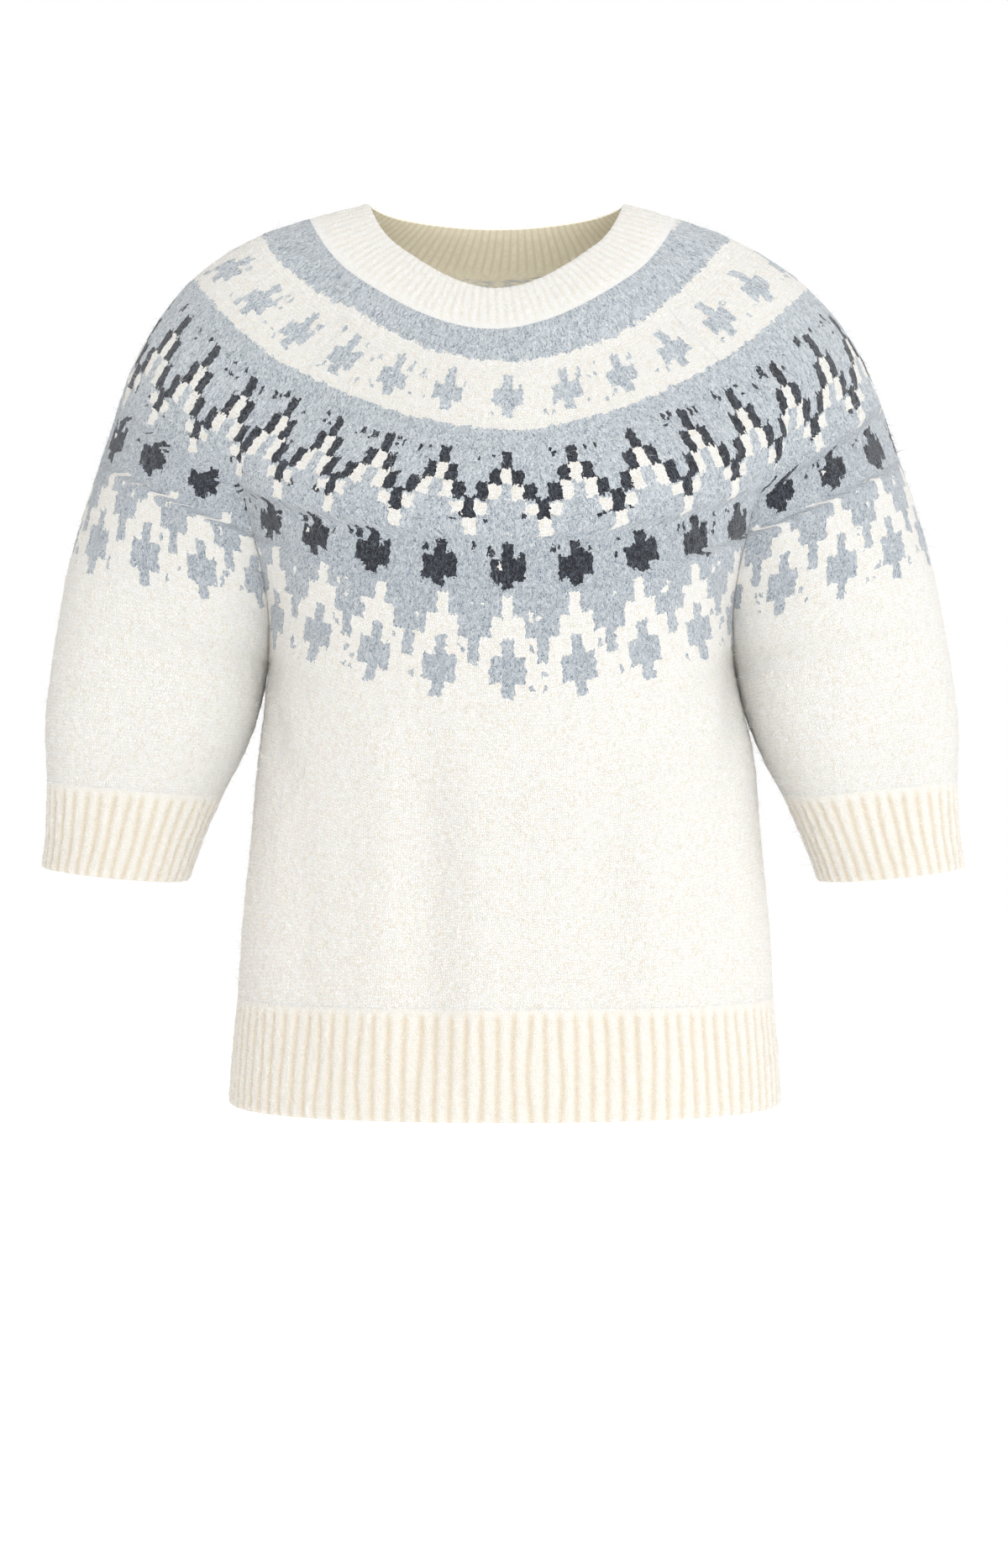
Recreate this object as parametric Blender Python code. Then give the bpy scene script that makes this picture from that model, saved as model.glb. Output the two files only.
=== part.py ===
"""Nordic yoke sweater, hollow as worn: nine knitted pieces, open at the neck, the hem and both cuffs.

Metres. +Z is up, the front faces -Y, and z = 0 is the height of the neck seam on the shoulders.
`drop` is the length of knitting below the neck seam. Above the armpit a row of the same drop runs
right round the yoke, through the front, both sleeves and the back.
"""

import bpy
import numpy as np

WALL = 0.003
RIB_WALL = 0.0022
RIB_RAISED = 0.0013
SEAM_GAP = 0.0003
# The cuff narrows from its seam, so it starts a little lower.
CUFF_GAP = 0.0005

NECK_EDGE = -0.040
ARMPIT = 0.325
CUFF_SEAM = 0.425
CUFF_EDGE = 0.489
HEM_SEAM = 0.530
HEM_EDGE = 0.607
# The length of yoke over which its rings turn level above the armpit.
SLOPE_EASE = 0.13

# Half the length of knitting that a normal is worked out over, and how fast a fold fades at its ends.
NORMAL_REACH = 0.006
FOLD_FADE = 0.7

YOKE_ROWS = 14
BODY_ROWS = 9
TUBE_ROWS = 5
PANEL_COLUMNS = 28
SLEEVE_COLUMNS = 20

NECK_RIBS = 108
HEM_RIBS = 49
CUFF_RIBS = 37
# Share of one rib's pitch and how far it is raised there.
BROAD_RIB = ((0.0, 0.0), (0.15, 1.0), (0.85, 1.0))
NARROW_RIB = ((0.0, 0.0), (0.5, 1.0))

CREAM = (0.93, 0.91, 0.86)
ROUGHNESS = 0.95


def table(columns, rows):
    """A table's columns by name, each as an array down its rows."""
    return dict(zip(columns.split(), np.array(rows, float).T))


# Half a ring from the middle of the front to the raglan seam, and below the armpit to the side seam.
# turn is the heading there in degrees: 0 runs straight across, 90 runs straight back. A fullness above 1
# squares the run off.
FRONT = table(
    "drop centre_depth centre_z seam_x seam_depth seam_z turn fullness",
    (
        (-0.040, 0.075, -0.0556, 0.0700, 0.0470, -0.0220, 38, 1.00),
        (0.000, 0.095, -0.0865, 0.0980, 0.0620, -0.0450, 35, 1.00),
        (0.028, 0.105, -0.1100, 0.1140, 0.0715, -0.0765, 29, 1.00),
        (0.082, 0.120, -0.1565, 0.1470, 0.0840, -0.1160, 22, 1.00),
        (0.137, 0.130, -0.1990, 0.1880, 0.0860, -0.1630, 26, 1.00),
        (0.191, 0.134, -0.2490, 0.1740, 0.0780, -0.2130, 50, 1.00),
        (0.289, 0.132, -0.3400, 0.1630, 0.0400, -0.2870, 76, 1.00),
        (0.312, 0.131, -0.3620, 0.1645, 0.0180, -0.3120, 84, 1.06),
        (0.325, 0.130, -0.3750, 0.1660, 0.0000, -0.3200, 90, 1.11),
        (0.357, 0.129, -0.4040, 0.1710, 0.0000, -0.3520, 90, 1.13),
        (0.390, 0.128, -0.4310, 0.1765, 0.0000, -0.3830, 90, 1.12),
        (0.440, 0.127, -0.4720, 0.1815, 0.0000, -0.4400, 90, 1.09),
        (0.490, 0.130, -0.5150, 0.1875, 0.0000, -0.5000, 90, 1.07),
        (0.530, 0.134, -0.5490, 0.1910, 0.0000, -0.5530, 90, 1.06),
        (0.575, 0.137, -0.5930, 0.1950, 0.0000, -0.5970, 90, 1.05),
        (0.607, 0.137, -0.6256, 0.1970, 0.0000, -0.6290, 90, 1.05),
    ),
)
BACK = table(
    "drop centre_depth centre_z seam_x seam_depth seam_z turn fullness",
    (
        (-0.040, 0.055, 0.0000, 0.0700, 0.0390, 0.0060, 40, 1.00),
        (0.000, 0.078, -0.0340, 0.1000, 0.0560, -0.0160, 38, 1.00),
        (0.028, 0.089, -0.0580, 0.1160, 0.0640, -0.0400, 30, 1.00),
        (0.082, 0.102, -0.1050, 0.1490, 0.0740, -0.0820, 22, 1.00),
        (0.137, 0.110, -0.1520, 0.1880, 0.0770, -0.1340, 26, 1.00),
        (0.191, 0.112, -0.2030, 0.1740, 0.0700, -0.1900, 48, 1.00),
        (0.289, 0.108, -0.3000, 0.1630, 0.0360, -0.2780, 76, 1.00),
        (0.312, 0.107, -0.3220, 0.1645, 0.0160, -0.3070, 84, 1.07),
        (0.325, 0.106, -0.3350, 0.1660, 0.0000, -0.3200, 90, 1.13),
        (0.357, 0.105, -0.3660, 0.1710, 0.0000, -0.3520, 90, 1.15),
        (0.390, 0.104, -0.3980, 0.1765, 0.0000, -0.3830, 90, 1.14),
        (0.440, 0.106, -0.4460, 0.1815, 0.0000, -0.4400, 90, 1.10),
        (0.490, 0.113, -0.5020, 0.1875, 0.0000, -0.5000, 90, 1.07),
        (0.530, 0.120, -0.5490, 0.1910, 0.0000, -0.5530, 90, 1.06),
        (0.575, 0.124, -0.5940, 0.1950, 0.0000, -0.5970, 90, 1.05),
        (0.607, 0.125, -0.6260, 0.1970, 0.0000, -0.6290, 90, 1.05),
    ),
)
# A sleeve's outermost line, the headings it leaves the two raglan seams with and how round it is.
SLEEVE = table(
    "drop outer_x outer_y outer_z front_turn back_turn fullness clear",
    (
        (-0.040, 0.0906, -0.001, 0.0114, 38, 40, 1.00, 0.0000),
        (0.000, 0.1310, -0.002, 0.0000, 35, 38, 1.00, 0.0000),
        (0.028, 0.1640, -0.002, -0.0114, 29, 30, 1.00, 0.0000),
        (0.082, 0.2160, -0.003, -0.0440, 22, 22, 1.00, 0.0000),
        (0.137, 0.2580, -0.005, -0.1000, 20, 20, 1.00, 0.0000),
        (0.191, 0.2780, -0.006, -0.1550, -18, -20, 0.970, 0.0006),
        (0.289, 0.3080, -0.005, -0.2520, -62, -64, 0.920, 0.0012),
        (0.312, 0.3135, -0.004, -0.2800, -78, -80, 0.940, 0.0012),
        (0.325, 0.3155, -0.004, -0.2930, -90, -90, 0.955, 0.0012),
        (0.355, 0.3207, -0.004, -0.3270, -90, -90, 0.955, 0.0012),
        (0.390, 0.3245, -0.005, -0.3640, -90, -90, 0.945, 0.0012),
        (0.425, 0.3235, -0.006, -0.3990, -90, -90, 0.935, 0.0012),
        (0.460, 0.3250, -0.007, -0.4360, -90, -90, 0.925, 0.0012),
        (0.489, 0.3285, -0.008, -0.4610, -90, -90, 0.920, 0.0012),
    ),
)
# The underarm line of a sleeve below the armpit.
UNDERARM = table(
    "drop inner_x inner_y inner_z",
    (
        (0.325, 0.1660, 0.000, -0.3200),
        (0.355, 0.1725, -0.002, -0.3500),
        (0.390, 0.1850, -0.004, -0.3830),
        (0.425, 0.1990, -0.006, -0.4100),
        (0.460, 0.2140, -0.007, -0.4440),
        (0.489, 0.2240, -0.008, -0.4720),
    ),
)
# How far the rings stand off the middle plane, and how far the yoke is turned round the neck.
HANG = table(
    "drop body sleeve twist",
    (
        (-0.040, -0.0054, -0.0054, 0.012),
        (0.028, -0.0085, -0.0085, 0.013),
        (0.137, -0.0035, -0.0035, 0.013),
        (0.191, -0.0028, -0.0028, 0.000),
        (0.325, -0.0020, -0.0020, 0.000),
        (0.390, 0.0015, -0.0012, 0.000),
        (0.607, 0.0008, 0.0000, 0.000),
    ),
)
# Soft folds: where each starts and ends, across from -1 to 1 and down by drop, its height and width.
FOLD_COLUMNS = "across_top drop_top across_low drop_low height width"
FOLDS = {
    "front": table(
        FOLD_COLUMNS,
        (
            (-0.22, 0.300, -0.20, 0.600, -0.0060, 0.060),
            (-0.33, 0.310, -0.31, 0.590, 0.0025, 0.060),
            (-0.09, 0.320, -0.08, 0.600, 0.0025, 0.070),
            (0.30, 0.330, 0.26, 0.590, -0.0035, 0.060),
            (0.43, 0.340, 0.38, 0.590, 0.0020, 0.060),
            (-0.62, 0.400, -0.55, 0.600, -0.0030, 0.050),
            (0.66, 0.380, 0.60, 0.600, -0.0025, 0.060),
            (-0.93, 0.300, -0.66, 0.400, -0.0040, 0.060),
            (0.93, 0.300, 0.68, 0.400, -0.0040, 0.060),
        ),
    ),
    "back": table(
        FOLD_COLUMNS,
        (
            (0.24, 0.280, 0.18, 0.600, -0.0060, 0.060),
            (0.10, 0.300, 0.07, 0.590, 0.0025, 0.070),
            (-0.28, 0.300, -0.24, 0.600, -0.0045, 0.060),
            (-0.42, 0.330, -0.38, 0.590, 0.0022, 0.060),
            (0.62, 0.380, 0.56, 0.600, -0.0030, 0.055),
            (-0.64, 0.400, -0.60, 0.600, -0.0028, 0.060),
            (0.93, 0.290, 0.66, 0.400, -0.0040, 0.060),
            (-0.93, 0.290, -0.66, 0.400, -0.0040, 0.060),
        ),
    ),
    "sleeve_left": table(
        FOLD_COLUMNS,
        (
            (0.62, 0.200, 0.42, 0.460, -0.0040, 0.110),
            (0.25, 0.260, 0.22, 0.470, 0.0030, 0.100),
            (-0.35, 0.230, -0.52, 0.460, -0.0040, 0.110),
        ),
    ),
    "sleeve_right": table(
        FOLD_COLUMNS,
        (
            (-0.35, 0.330, -0.50, 0.470, -0.0045, 0.090),
            (-0.68, 0.300, -0.72, 0.470, 0.0030, 0.090),
            (0.40, 0.240, 0.50, 0.460, -0.0040, 0.110),
        ),
    ),
}


def between(knots, values, at):
    """A smooth curve through a table's column that never overshoots its rows, and runs on straight past them."""
    step = np.diff(knots)
    slope = np.diff(values) / step
    before, after = slope[:-1], slope[1:]
    agree = before * after > 0
    rate = np.zeros(len(knots))
    rate[0], rate[-1] = slope[0], slope[-1]
    safe_before = np.where(agree, before, 1)
    safe_after = np.where(agree, after, 1)
    weight_before = 2 * step[1:] + step[:-1]
    weight_after = step[1:] + 2 * step[:-1]
    mean = (weight_before + weight_after) / (
        weight_before / safe_before + weight_after / safe_after
    )
    rate[1:-1] = np.where(agree, mean, 0)
    inside = np.clip(at, knots[0], knots[-1])
    past = (at - inside) * (rate[0] if at < knots[0] else rate[-1])
    at = inside
    i = np.clip(np.searchsorted(knots, at) - 1, 0, len(step) - 1)
    t = (at - knots[i]) / step[i]
    rise = step[i] * (t * (1 - t) ** 2 * rate[i] - t * t * (1 - t) * rate[i + 1])
    blend = t * t * (3 - 2 * t)
    return values[i] + (values[i + 1] - values[i]) * blend + rise + past


def row_of(source, drop):
    """A table's values at one drop."""
    return {
        name: float(between(source["drop"], values, drop))
        for name, values in source.items()
        if name != "drop"
    }


def cubic(start, start_handle, end_handle, end, steps=40):
    """Points along a cubic Bezier curve."""
    t = np.linspace(0, 1, steps + 1)[:, None]
    return (
        (1 - t) ** 3 * start
        + 3 * (1 - t) ** 2 * t * start_handle
        + 3 * (1 - t) * t * t * end_handle
        + t**3 * end
    )


def heading(degrees, rise=0.0):
    """A step in x, depth and z that heads across at 0 degrees and inward at 90."""
    angle = np.radians(degrees)
    return np.array((np.cos(angle), -np.sin(angle), rise * np.cos(angle)))


def ring_slope(body, sleeve, side, drop):
    """How fast a ring climbs where it crosses the raglan seam, easing off to level at the armpit."""
    outer_depth = side * sleeve["outer_y"]
    inner = np.hypot(body["seam_x"], body["centre_depth"] - body["seam_depth"])
    outer = np.hypot(sleeve["outer_x"] - body["seam_x"], body["seam_depth"] - outer_depth)
    inner_slope = 2 * (body["seam_z"] - body["centre_z"]) / inner
    slope = (inner_slope + (sleeve["outer_z"] - body["seam_z"]) / outer) / 2
    left = np.clip((ARMPIT - drop) / SLOPE_EASE, 0, 1)
    return slope * left * left * (3 - 2 * left)


def body_arc(source, side, drop):
    """Half a ring's run over the front (side -1) or the back (side 1), from the middle to the seam."""
    body = row_of(source, drop)
    slope = ring_slope(body, row_of(SLEEVE, drop), side, drop)
    start = np.array((0, body["centre_depth"], body["centre_z"]))
    end = np.array((body["seam_x"], body["seam_depth"], body["seam_z"]))
    turn = np.radians(body["turn"])
    reach = 4 / 3 * np.tan(turn / 4) / np.sin(turn) * body["fullness"]
    across = end[0]
    back = across * np.cos(turn) + (start[1] - end[1]) * np.sin(turn)
    start_handle = start + heading(0) * reach * across
    end_handle = end - heading(body["turn"], slope) * reach * back
    return cubic(start, start_handle, end_handle, end) * (1, side, 1)


def sleeve_arc(source, side, drop):
    """A ring's run over a sleeve, from the seam or the underarm line to the outer line."""
    sleeve = row_of(SLEEVE, drop)
    if drop < ARMPIT:
        body = row_of(source, drop)
        slope = ring_slope(body, sleeve, side, drop)
        start = np.array((body["seam_x"], body["seam_depth"], body["seam_z"]))
    else:
        inner = row_of(UNDERARM, drop)
        slope = 0
        start = np.array((inner["inner_x"], side * inner["inner_y"], inner["inner_z"]))
    start[0] += sleeve["clear"]
    end = np.array((sleeve["outer_x"], side * sleeve["outer_y"], sleeve["outer_z"]))
    turn = sleeve["front_turn"] if side < 0 else sleeve["back_turn"]
    bend = np.radians(90 - turn)
    chord = np.linalg.norm(end[:2] - start[:2])
    reach = chord * 2 / 3 * np.tan(bend / 4) / np.sin(bend / 2) * sleeve["fullness"]
    start_handle = start + heading(turn, slope) * reach
    end_handle = end - heading(90) * reach
    return cubic(start, start_handle, end_handle, end) * (1, side, 1)


def lengths_of(line):
    """The length of a line up to each of its points."""
    return np.concatenate(([0], np.cumsum(np.linalg.norm(np.diff(line, axis=0), axis=1))))


def along(line, shares, gap=0.0, shift=(0.0, 0.0)):
    """Points at shares of a line's length, kept back from its ends by the gap, with both ends shifted."""
    lengths = lengths_of(line)
    first, last = gap + shift[0], lengths[-1] - gap + shift[1]
    at = first + shares * (last - first)
    return np.stack([np.interp(at, lengths, line[:, k]) for k in range(3)], axis=1)


def mirrored(points):
    """The same run on the other side, turned so that it still goes round the same way."""
    return (points * (-1, 1, 1))[::-1]


def runs_at(drop):
    """A row's four runs in order round the garment: front, right sleeve, back and left sleeve."""
    front, back = body_arc(FRONT, -1, drop), body_arc(BACK, 1, drop)
    sleeve = np.concatenate((sleeve_arc(FRONT, -1, drop), sleeve_arc(BACK, 1, drop)[::-1][1:]))
    body_lean = (float(between(HANG["drop"], HANG["body"], drop)), 0, 0)
    sleeve_lean = (float(between(HANG["drop"], HANG["sleeve"], drop)), 0, 0)
    return {
        "front": np.concatenate((mirrored(front), front[1:])) + body_lean,
        "sleeve_right": sleeve + sleeve_lean,
        "back": np.concatenate((back[::-1], mirrored(back[::-1])[1:])) + body_lean,
        "sleeve_left": mirrored(sleeve) + sleeve_lean,
    }


def run(name, drop, shares, gap=0.0):
    """Points of one piece's run at a drop. Above the armpit the twist slides its ends round the ring."""
    runs = runs_at(drop)
    line = runs[name]
    twist = float(between(HANG["drop"], HANG["twist"], drop)) if drop < ARMPIT else 0
    if twist <= 0:
        return along(line, shares, gap)
    order = list(runs)
    beyond = runs[order[(order.index(name) + 1) % len(order)]]
    return along(np.concatenate((line, beyond[1:])), shares, gap, (twist, twist - lengths_of(beyond)[-1]))


def round_step(points, closed):
    """The way along a row at each of its points."""
    if closed:
        return np.roll(points, -1, axis=0) - np.roll(points, 1, axis=0)
    return np.gradient(points, axis=0, edge_order=2)


def normals(row, drop, closed):
    """Unit normals along a row that face out of the garment."""
    down = row(drop + NORMAL_REACH) - row(drop - NORMAL_REACH)
    normal = np.cross(down, round_step(row(drop), closed))
    return normal / np.linalg.norm(normal, axis=1, keepdims=True)


def fold_heights(name, shares, drop):
    """How far the folds raise or sink each point of a row."""
    folds = FOLDS[name]
    across = 2 * shares - 1
    length = folds["drop_low"] - folds["drop_top"]
    t = np.clip((drop - folds["drop_top"]) / length, 0, 1)
    line = folds["across_top"] + t * (folds["across_low"] - folds["across_top"])
    height = folds["height"] * (4 * t * (1 - t)) ** FOLD_FADE
    offset = (across[:, None] - line) / folds["width"]
    return (height * np.exp(-offset * offset / 2)).sum(axis=1) * (1 - across**8)


def surface(row, drops, closed=False, folds=None, shares=None):
    """The points and the normals of rows at some drops, with their folds."""

    def folded(drop):
        if folds is None:
            return row(drop)
        height = fold_heights(folds, shares, drop)[:, None]
        return row(drop) + normals(row, drop, closed) * height

    points = np.array([folded(drop) for drop in drops])
    return points, np.array([normals(folded, drop, closed) for drop in drops])


def new_object(name, vertices, faces, collection):
    """A smooth mesh object with its own material."""
    mesh = bpy.data.meshes.new(name)
    mesh.from_pydata([tuple(v) for v in vertices], [], faces)
    mesh.polygons.foreach_set("use_smooth", [True] * len(mesh.polygons))
    material = bpy.data.materials.new(name + "_wool")
    material.use_nodes = True
    shader = material.node_tree.nodes["Principled BSDF"]
    shader.inputs["Base Color"].default_value = (*CREAM, 1)
    shader.inputs["Roughness"].default_value = ROUGHNESS
    shader.inputs["Metallic"].default_value = 0
    mesh.materials.append(material)
    made = bpy.data.objects.new(name, mesh)
    collection.objects.link(made)
    return made


def grid_faces(grid, closed, first=0, inward=False):
    """Triangles over a grid, each pair split along its shorter diagonal."""
    rows, columns = grid.shape[:2]
    faces = []
    for r in range(rows - 1):
        for c in range(columns if closed else columns - 1):
            right = (c + 1) % columns
            corners = ((r, c), (r + 1, c), (r + 1, right), (r, right))
            a, b, d, e = (first + i * columns + j for i, j in corners)
            fall = np.linalg.norm(grid[corners[0]] - grid[corners[2]])
            climb = np.linalg.norm(grid[corners[1]] - grid[corners[3]])
            pair = ((a, b, d), (a, d, e)) if fall <= climb else ((a, b, e), (b, d, e))
            faces += [face[::-1] if inward else face for face in pair]
    return faces


def shell(name, outer, inner, closed, collection):
    """A walled piece between an outer and an inner grid, closed along its edges."""
    rows, columns = outer.shape[:2]
    count = rows * columns
    faces = grid_faces(outer, closed) + grid_faces(inner, closed, count, inward=True)
    for c in range(columns if closed else columns - 1):
        right = (c + 1) % columns
        faces.append([c, right, count + right, count + c])
        low, low_right = count - columns + c, count - columns + right
        faces.append([low_right, low, count + low, count + low_right])
    if not closed:
        for r in range(rows - 1):
            up, under = r * columns, (r + 1) * columns
            faces.append([up, count + up, count + under, under])
            up, under = up + columns - 1, under + columns - 1
            faces.append([under, count + under, count + up, up])
    points = np.concatenate((outer.reshape(-1, 3), inner.reshape(-1, 3)))
    return new_object(name, points, faces, collection)


def rib_shares(count, profile, closed):
    """Where a band's columns stand, as shares of its length, and how far each is raised."""
    shares = [(rib + share) / count for rib in range(count) for share, _ in profile]
    raised = [height for _ in range(count) for _, height in profile]
    if not closed:
        shares.append(1.0)
        raised.append(profile[0][1])
    return np.array(shares), np.array(raised)


def make_panels(collection):
    """The front, the back and both sleeves."""
    yoke = np.linspace(SEAM_GAP / 2, ARMPIT, YOKE_ROWS + 1)
    body = np.linspace(ARMPIT, HEM_SEAM - SEAM_GAP / 2, BODY_ROWS + 1)[1:]
    tube = np.linspace(ARMPIT, CUFF_SEAM - SEAM_GAP / 2, TUBE_ROWS + 1)[1:]
    for name in ("front", "back", "sleeve_left", "sleeve_right"):
        is_sleeve = name.startswith("sleeve")
        drops = np.concatenate((yoke, tube if is_sleeve else body))
        shares = np.linspace(0, 1, (SLEEVE_COLUMNS if is_sleeve else PANEL_COLUMNS) + 1)

        def row(drop, name=name, shares=shares):
            return run(name, drop, shares, SEAM_GAP / 2)

        outer, out = surface(row, drops, folds=name, shares=shares)
        shell(name, outer, outer - out * WALL, False, collection)


def ribbed(name, row, drops, shares, raised, closed, collection, folds=None):
    """A band whose ribs stand up to its smooth surface."""
    base, out = surface(row, drops, closed, folds, shares)
    sunk = ((1 - raised) * RIB_RAISED)[None, :, None]
    shell(name, base - out * sunk, base - out * (RIB_WALL + RIB_RAISED), closed, collection)


def make_neck_rib(collection):
    """The ring of narrow rib round the neck."""
    shares, raised = rib_shares(NECK_RIBS, NARROW_RIB, True)

    def row(drop):
        runs = list(runs_at(drop).values())
        return along(np.concatenate([run[:-1] for run in runs] + [runs[0][:1]]), shares)

    drops = np.linspace(NECK_EDGE, -SEAM_GAP / 2, 3)
    ribbed("neck_rib", row, drops, shares, raised, True, collection)


def make_hem_ribs(collection):
    """The two bands of broad rib at the hem."""
    shares, raised = rib_shares(HEM_RIBS, BROAD_RIB, False)
    drops = np.array((HEM_SEAM + SEAM_GAP / 2, HEM_EDGE))
    for name in ("front", "back"):

        def row(drop, name=name):
            return run(name, drop, shares, SEAM_GAP / 2)

        ribbed("hem_rib_" + name, row, drops, shares, raised, False, collection, name)


def make_cuff_ribs(collection):
    """The two tubes of broad rib at the cuffs."""
    shares, raised = rib_shares(CUFF_RIBS, BROAD_RIB, True)
    drops = np.array((CUFF_SEAM + CUFF_GAP, CUFF_EDGE))
    for name in ("left", "right"):

        def row(drop, name=name):
            return run("sleeve_" + name, drop, shares)

        ribbed("cuff_rib_" + name, row, drops, shares, raised, True, collection, "sleeve_" + name)


def main():
    for old in list(bpy.data.objects):
        bpy.data.objects.remove(old, do_unlink=True)
    collection = bpy.data.collections.new("nordic_yoke_sweater")
    bpy.context.scene.collection.children.link(collection)
    make_panels(collection)
    make_neck_rib(collection)
    make_hem_ribs(collection)
    make_cuff_ribs(collection)


main()
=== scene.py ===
"""Nordic yoke sweater, dressed: knitted panels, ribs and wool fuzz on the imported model's form.

Metres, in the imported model's frame: +Z up, the front faces -Y, z = 0 at the neck seam on the shoulders.
`drop` is the length of knitting below the neck seam. Above the armpit a row of the same drop runs
right round the yoke, through the front, both sleeves and the back.
"""

from functools import partial

import bpy
import numpy as np
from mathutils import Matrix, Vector


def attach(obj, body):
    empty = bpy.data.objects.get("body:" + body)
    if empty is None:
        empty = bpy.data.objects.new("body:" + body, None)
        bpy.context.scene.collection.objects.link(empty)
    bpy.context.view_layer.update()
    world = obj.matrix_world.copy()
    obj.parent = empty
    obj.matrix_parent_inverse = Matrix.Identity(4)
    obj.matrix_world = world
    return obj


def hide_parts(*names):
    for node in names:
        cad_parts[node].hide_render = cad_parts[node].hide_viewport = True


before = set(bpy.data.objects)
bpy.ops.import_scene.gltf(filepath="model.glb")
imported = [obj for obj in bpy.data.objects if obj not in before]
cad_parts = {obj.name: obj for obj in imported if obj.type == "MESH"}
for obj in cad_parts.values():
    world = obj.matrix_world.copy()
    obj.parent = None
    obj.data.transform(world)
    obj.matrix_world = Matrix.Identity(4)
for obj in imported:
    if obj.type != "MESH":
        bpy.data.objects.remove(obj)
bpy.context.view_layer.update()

WALL = 0.003
RIB_WALL = 0.0022
RIB_RAISED = 0.0011
NECK_RIB_RAISED = 0.0003

NECK_EDGE = -0.040
ARMPIT = 0.325
CUFF_SEAM = 0.425
CUFF_EDGE = 0.489
HEM_SEAM = 0.530
HEM_EDGE = 0.607
# The length of yoke over which its rings turn level above the armpit.
SLOPE_EASE = 0.13
# Straight steps that each half of a ring's curve over a piece is worked out in.
ARC_STEPS = 40

# The power that keeps a fold's height up towards its ends.
FOLD_FADE = 0.7
# How much knitting the armpit's corners are rounded over, and how far from it that fades.
EASE_REACH = 0.018
EASE_WIDTH = 0.035

# Each band: its ribs, its points to a rib, its grooves' width as a share of a rib, their depth and how tan
# the painted shade in them is, and whether its free edge is its top.
NECK_BAND = (108, 6, 0.22, NECK_RIB_RAISED, 0.4, True)
HEM_BAND = (49, 10, 0.21, RIB_RAISED, 0.8, False)
CUFF_BAND = (37, 10, 0.22, RIB_RAISED, 0.8, False)
RIB_STITCHES = 4
# Rows of points down each band, and the flat sizes given for the bands. HEM_FLAT is a guess and too narrow:
# the hem bands drawn here run from 0.50 to 0.53 m.
NECK_ROWS = 25
HEM_ROWS = 40
CUFF_ROWS = 34
NECK_FLAT = (0.752, 0.040)
HEM_FLAT = (0.49, HEM_EDGE - HEM_SEAM)
CUFF_FLAT = (0.36, CUFF_EDGE - CUFF_SEAM)

# The height of a row of stitches, and how far the raglan seams and the free edges are drawn in.
ROW = 0.0022
SEAM_DEPTH = 0.0002
SEAM_WIDTH = 0.0010
EDGE_DEPTH = 0.0010
EDGE_WIDTH = 0.0014
# How far a stitch's legs rise from its sides to its middle, in rows.
LEG_RISE = 0.5
# The length of knitting over which ribs rise out of the plain knit, and how tan the broad ribs' tops are.
RIB_START = 0.009
RIB_WARMTH = 0.25
# How far a rib wanders off its line, in ribs, and how unlike its neighbours it does.
RIB_WANDER = 0.05
RIB_WAVE_SPREAD = 40
# How much of the depth of the neck band's grooves shows on its inner side.
NECK_INNER_GROOVE = 0.6
# The knit's lumps: their height, their width in points, and how far from an edge they fade in.
BOUCLE_HEIGHT = 0.00022
BOUCLE_GRAIN = 3
BOUCLE_FADE = 0.004
# Yarns are carried across inside a panel down to this drop, fading in over this much above it.
CARRIED_END = 0.30
CARRIED_FADE = 0.02
# Edges that turn by more than this are the sheets' own, so they are not smoothed over.
RIM_ANGLE = np.radians(50)

# Every fourth point of a panel's outer grid has one on its inside. On a rib it is every third one down and
# every second one across.
INNER_STEP = 4
RIB_INNER_DOWN = 3
RIB_INNER_ACROSS = 2
BODY_GRID = (240, 260)
SLEEVE_GRID = (192, 200)

FUZZ_PER_M2 = 60000
FUZZ_SEGMENTS = 3
FUZZ_WIDTH = 0.00022
FUZZ_ROOT = 0.0003
FUZZ_LENGTH = (0.0025, 0.0070)
# How far fibres stand up, the power that keeps most of them low, what a standing one loses of its flat
# run, and how much they curl and sag.
FUZZ_LIFT = (0.05, 1.0)
FUZZ_LIFT_POWER = 1.3
FUZZ_STEEPENING = 0.4
FUZZ_CURL = 0.40
FUZZ_SAG = 0.10

MM_PER_M = 1000
# What each piece's random numbers start from.
SEEDS = dict(front=7, back=8, sleeve_left=9, sleeve_right=10, neck_rib=17)
SEEDS.update(hem_rib_front=27, hem_rib_back=28, cuff_rib_left=37, cuff_rib_right=38)


def table(columns, *rows):
    """A table's columns by name, each as an array down its rows."""
    return dict(zip(columns.split(), np.array(rows, float).T))


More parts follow.
